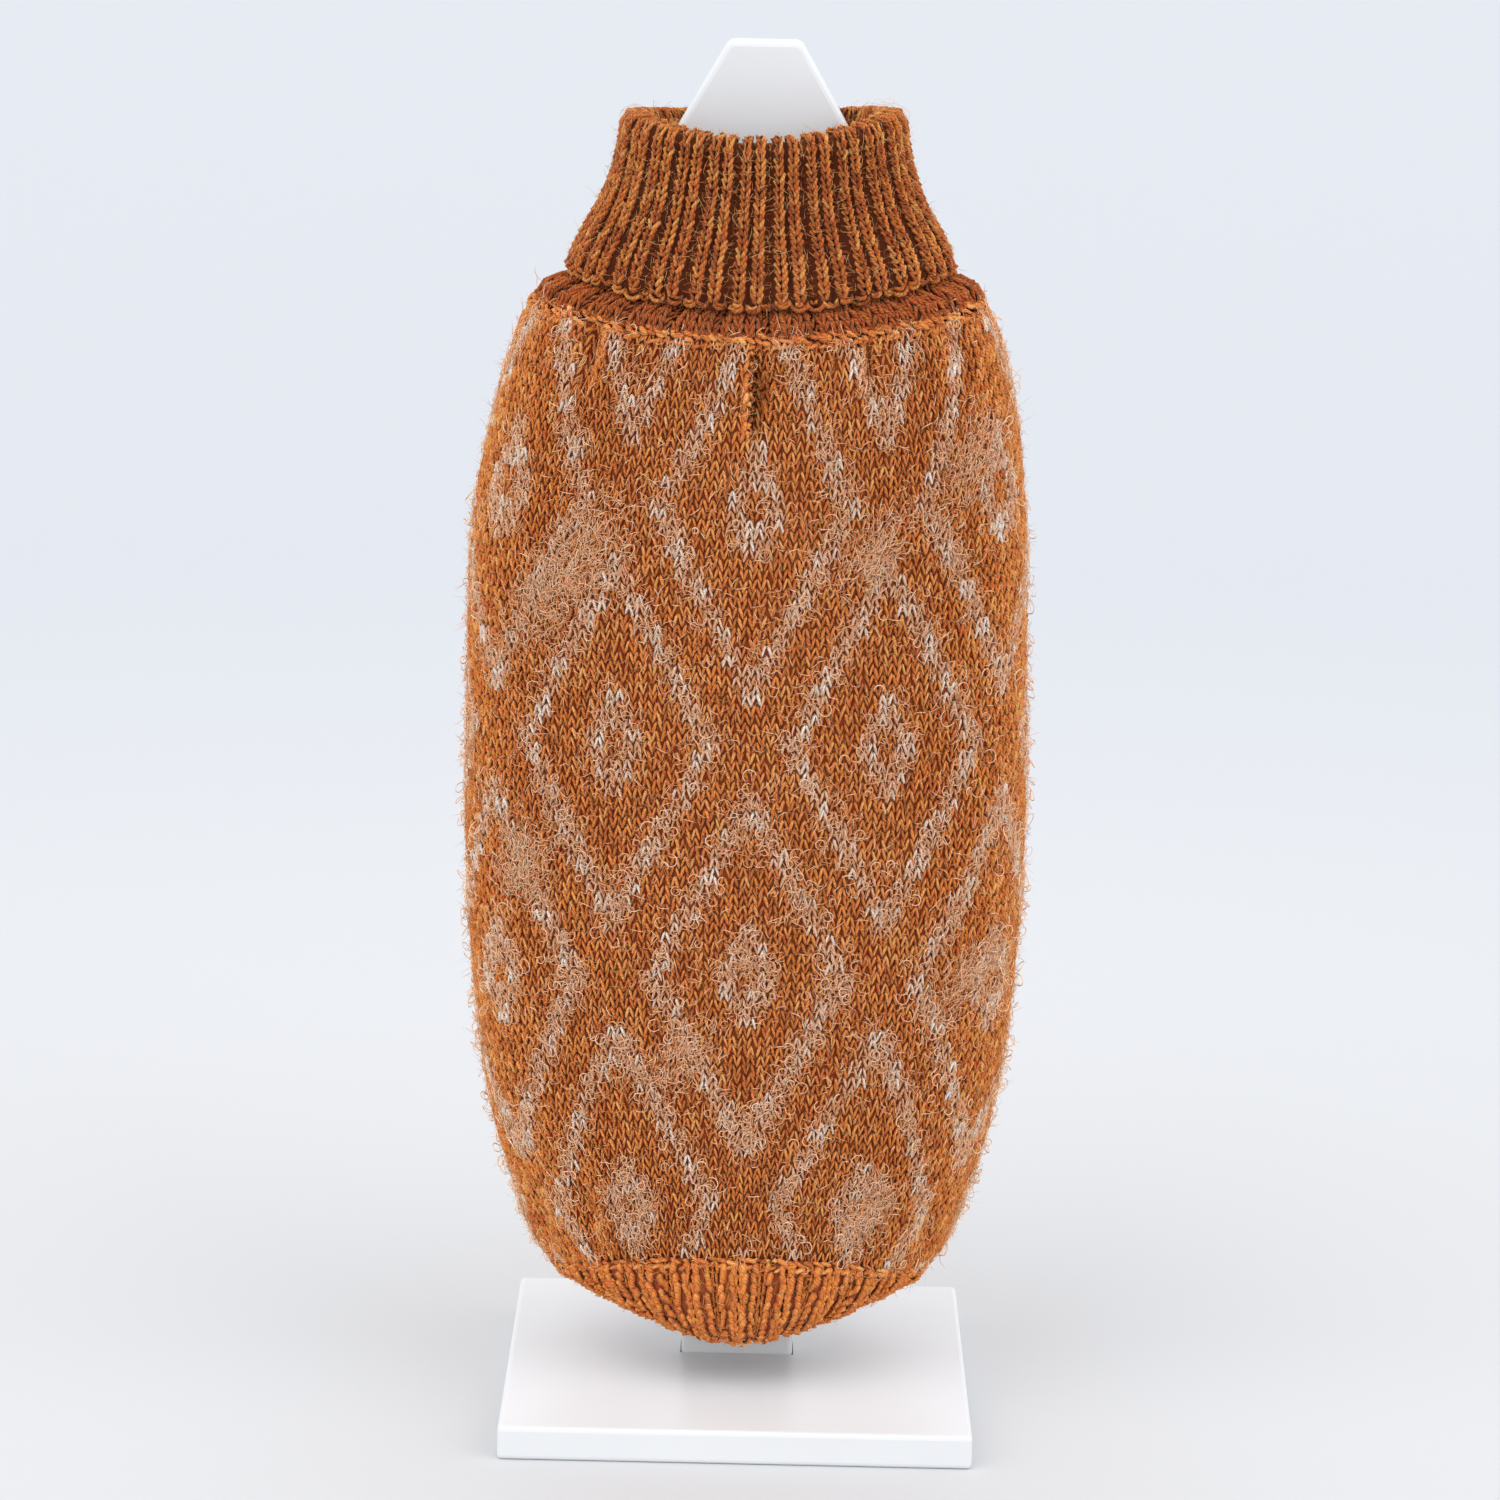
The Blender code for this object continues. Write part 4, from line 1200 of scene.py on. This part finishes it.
def paint_look(tree):
    """Satin white paint."""
    place = new_node(tree, "TexCoord", {}).outputs["Object"]
    peel, cloud = (
        new_node(tree, "TexNoise", {"Vector": place, "Scale": scale, "Detail": detail})
        for scale, detail in ((900.0, 2.0), (18.0, 3.0))
    )
    dusty = ramp(tree, cloud.outputs["Fac"], 0.35, 0.75, 0.0, 0.5)
    bumps = {"Strength": 0.08, "Distance": 0.0002, "Height": peel.outputs["Fac"]}
    return {
        "Base Color": blend(tree, dusty, PAINT, DUSTY_PAINT),
        "Normal": new_node(tree, "Bump", bumps).outputs[0],
        "Roughness": 0.38, "Coat Weight": 0.15, "Coat Roughness": 0.25,
    }


white_paint = new_material("satin white paint", paint_look)
for name in ("stand_board", "stand_base"):
    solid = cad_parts[name]
    solid.data.materials.clear()
    solid.data.materials.append(white_paint)
print("painted the board and the base")

# %% [markdown]
# ## Floor and light
#
# A pale floor, a large soft light high on each side, the left one a little stronger, and a bright
# cool sky that fills the shadows, as in a product studio.

# %% Floor
FLOOR_SIDE = 40.0
NEAR_FLOOR = (0.61, 0.615, 0.625, 1.0)
FAR_FLOOR = (0.535, 0.553, 0.588, 1.0)
bpy.ops.mesh.primitive_plane_add(size=FLOOR_SIDE)
floor = bpy.context.active_object
floor.name = "floor"


def floor_look(tree):
    """A pale matt floor, lightest near the stand and a cooler grey further away."""
    place = new_node(tree, "TexCoord", {}).outputs["Object"]
    length = new_node(tree, "VectorMath", {0: place}, operation="LENGTH").outputs["Value"]
    far = ramp(tree, length, 0.15, 1.6, interpolation_type="SMOOTHSTEP")
    return {"Base Color": blend(tree, far, NEAR_FLOOR, FAR_FLOOR), "Roughness": 0.6}


floor.data.materials.append(new_material("pale floor", floor_look))
print("the floor is", FLOOR_SIDE, "m wide")

# %% Lights
# name, degrees round from the back, degrees up, degrees across, power, colour
LIGHTS = (
    ("key softbox", -52.0, 42.0, 55.0, 0.90, (1.0, 0.985, 0.965)),
    ("side softbox", 62.0, 35.0, 55.0, 0.88, (0.985, 0.99, 1.0)),
)
SKY_COLOUR = (0.95, 0.97, 1.0, 1.0)
SKY_STRENGTH = 1.12
for name, azimuth, height, spread, power, colour in LIGHTS:
    bpy.ops.object.light_add(type="SUN")
    lamp = bpy.context.active_object
    lamp.name = name
    lamp.data.angle = math.radians(spread)
    lamp.data.energy = power
    lamp.data.color = colour
    lamp.matrix_world = rotation(azimuth, "Z") @ rotation(90.0 - height, "X")

sky = bpy.data.worlds.new("studio")
sky.use_nodes = True
background = sky.node_tree.nodes["Background"].inputs
background["Color"].default_value = SKY_COLOUR
background["Strength"].default_value = SKY_STRENGTH
bpy.context.scene.world = sky
print("lights:", [light[0] for light in LIGHTS])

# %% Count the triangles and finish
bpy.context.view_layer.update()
pieces = [o for o in bpy.data.objects if o.type == "MESH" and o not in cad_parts.values()]
largest = max(pieces, key=lambda piece: len(piece.data.polygons))
total = sum(len(piece.data.polygons) for piece in pieces)
print("the scene adds", total, "triangles; most in", largest.name, len(largest.data.polygons))
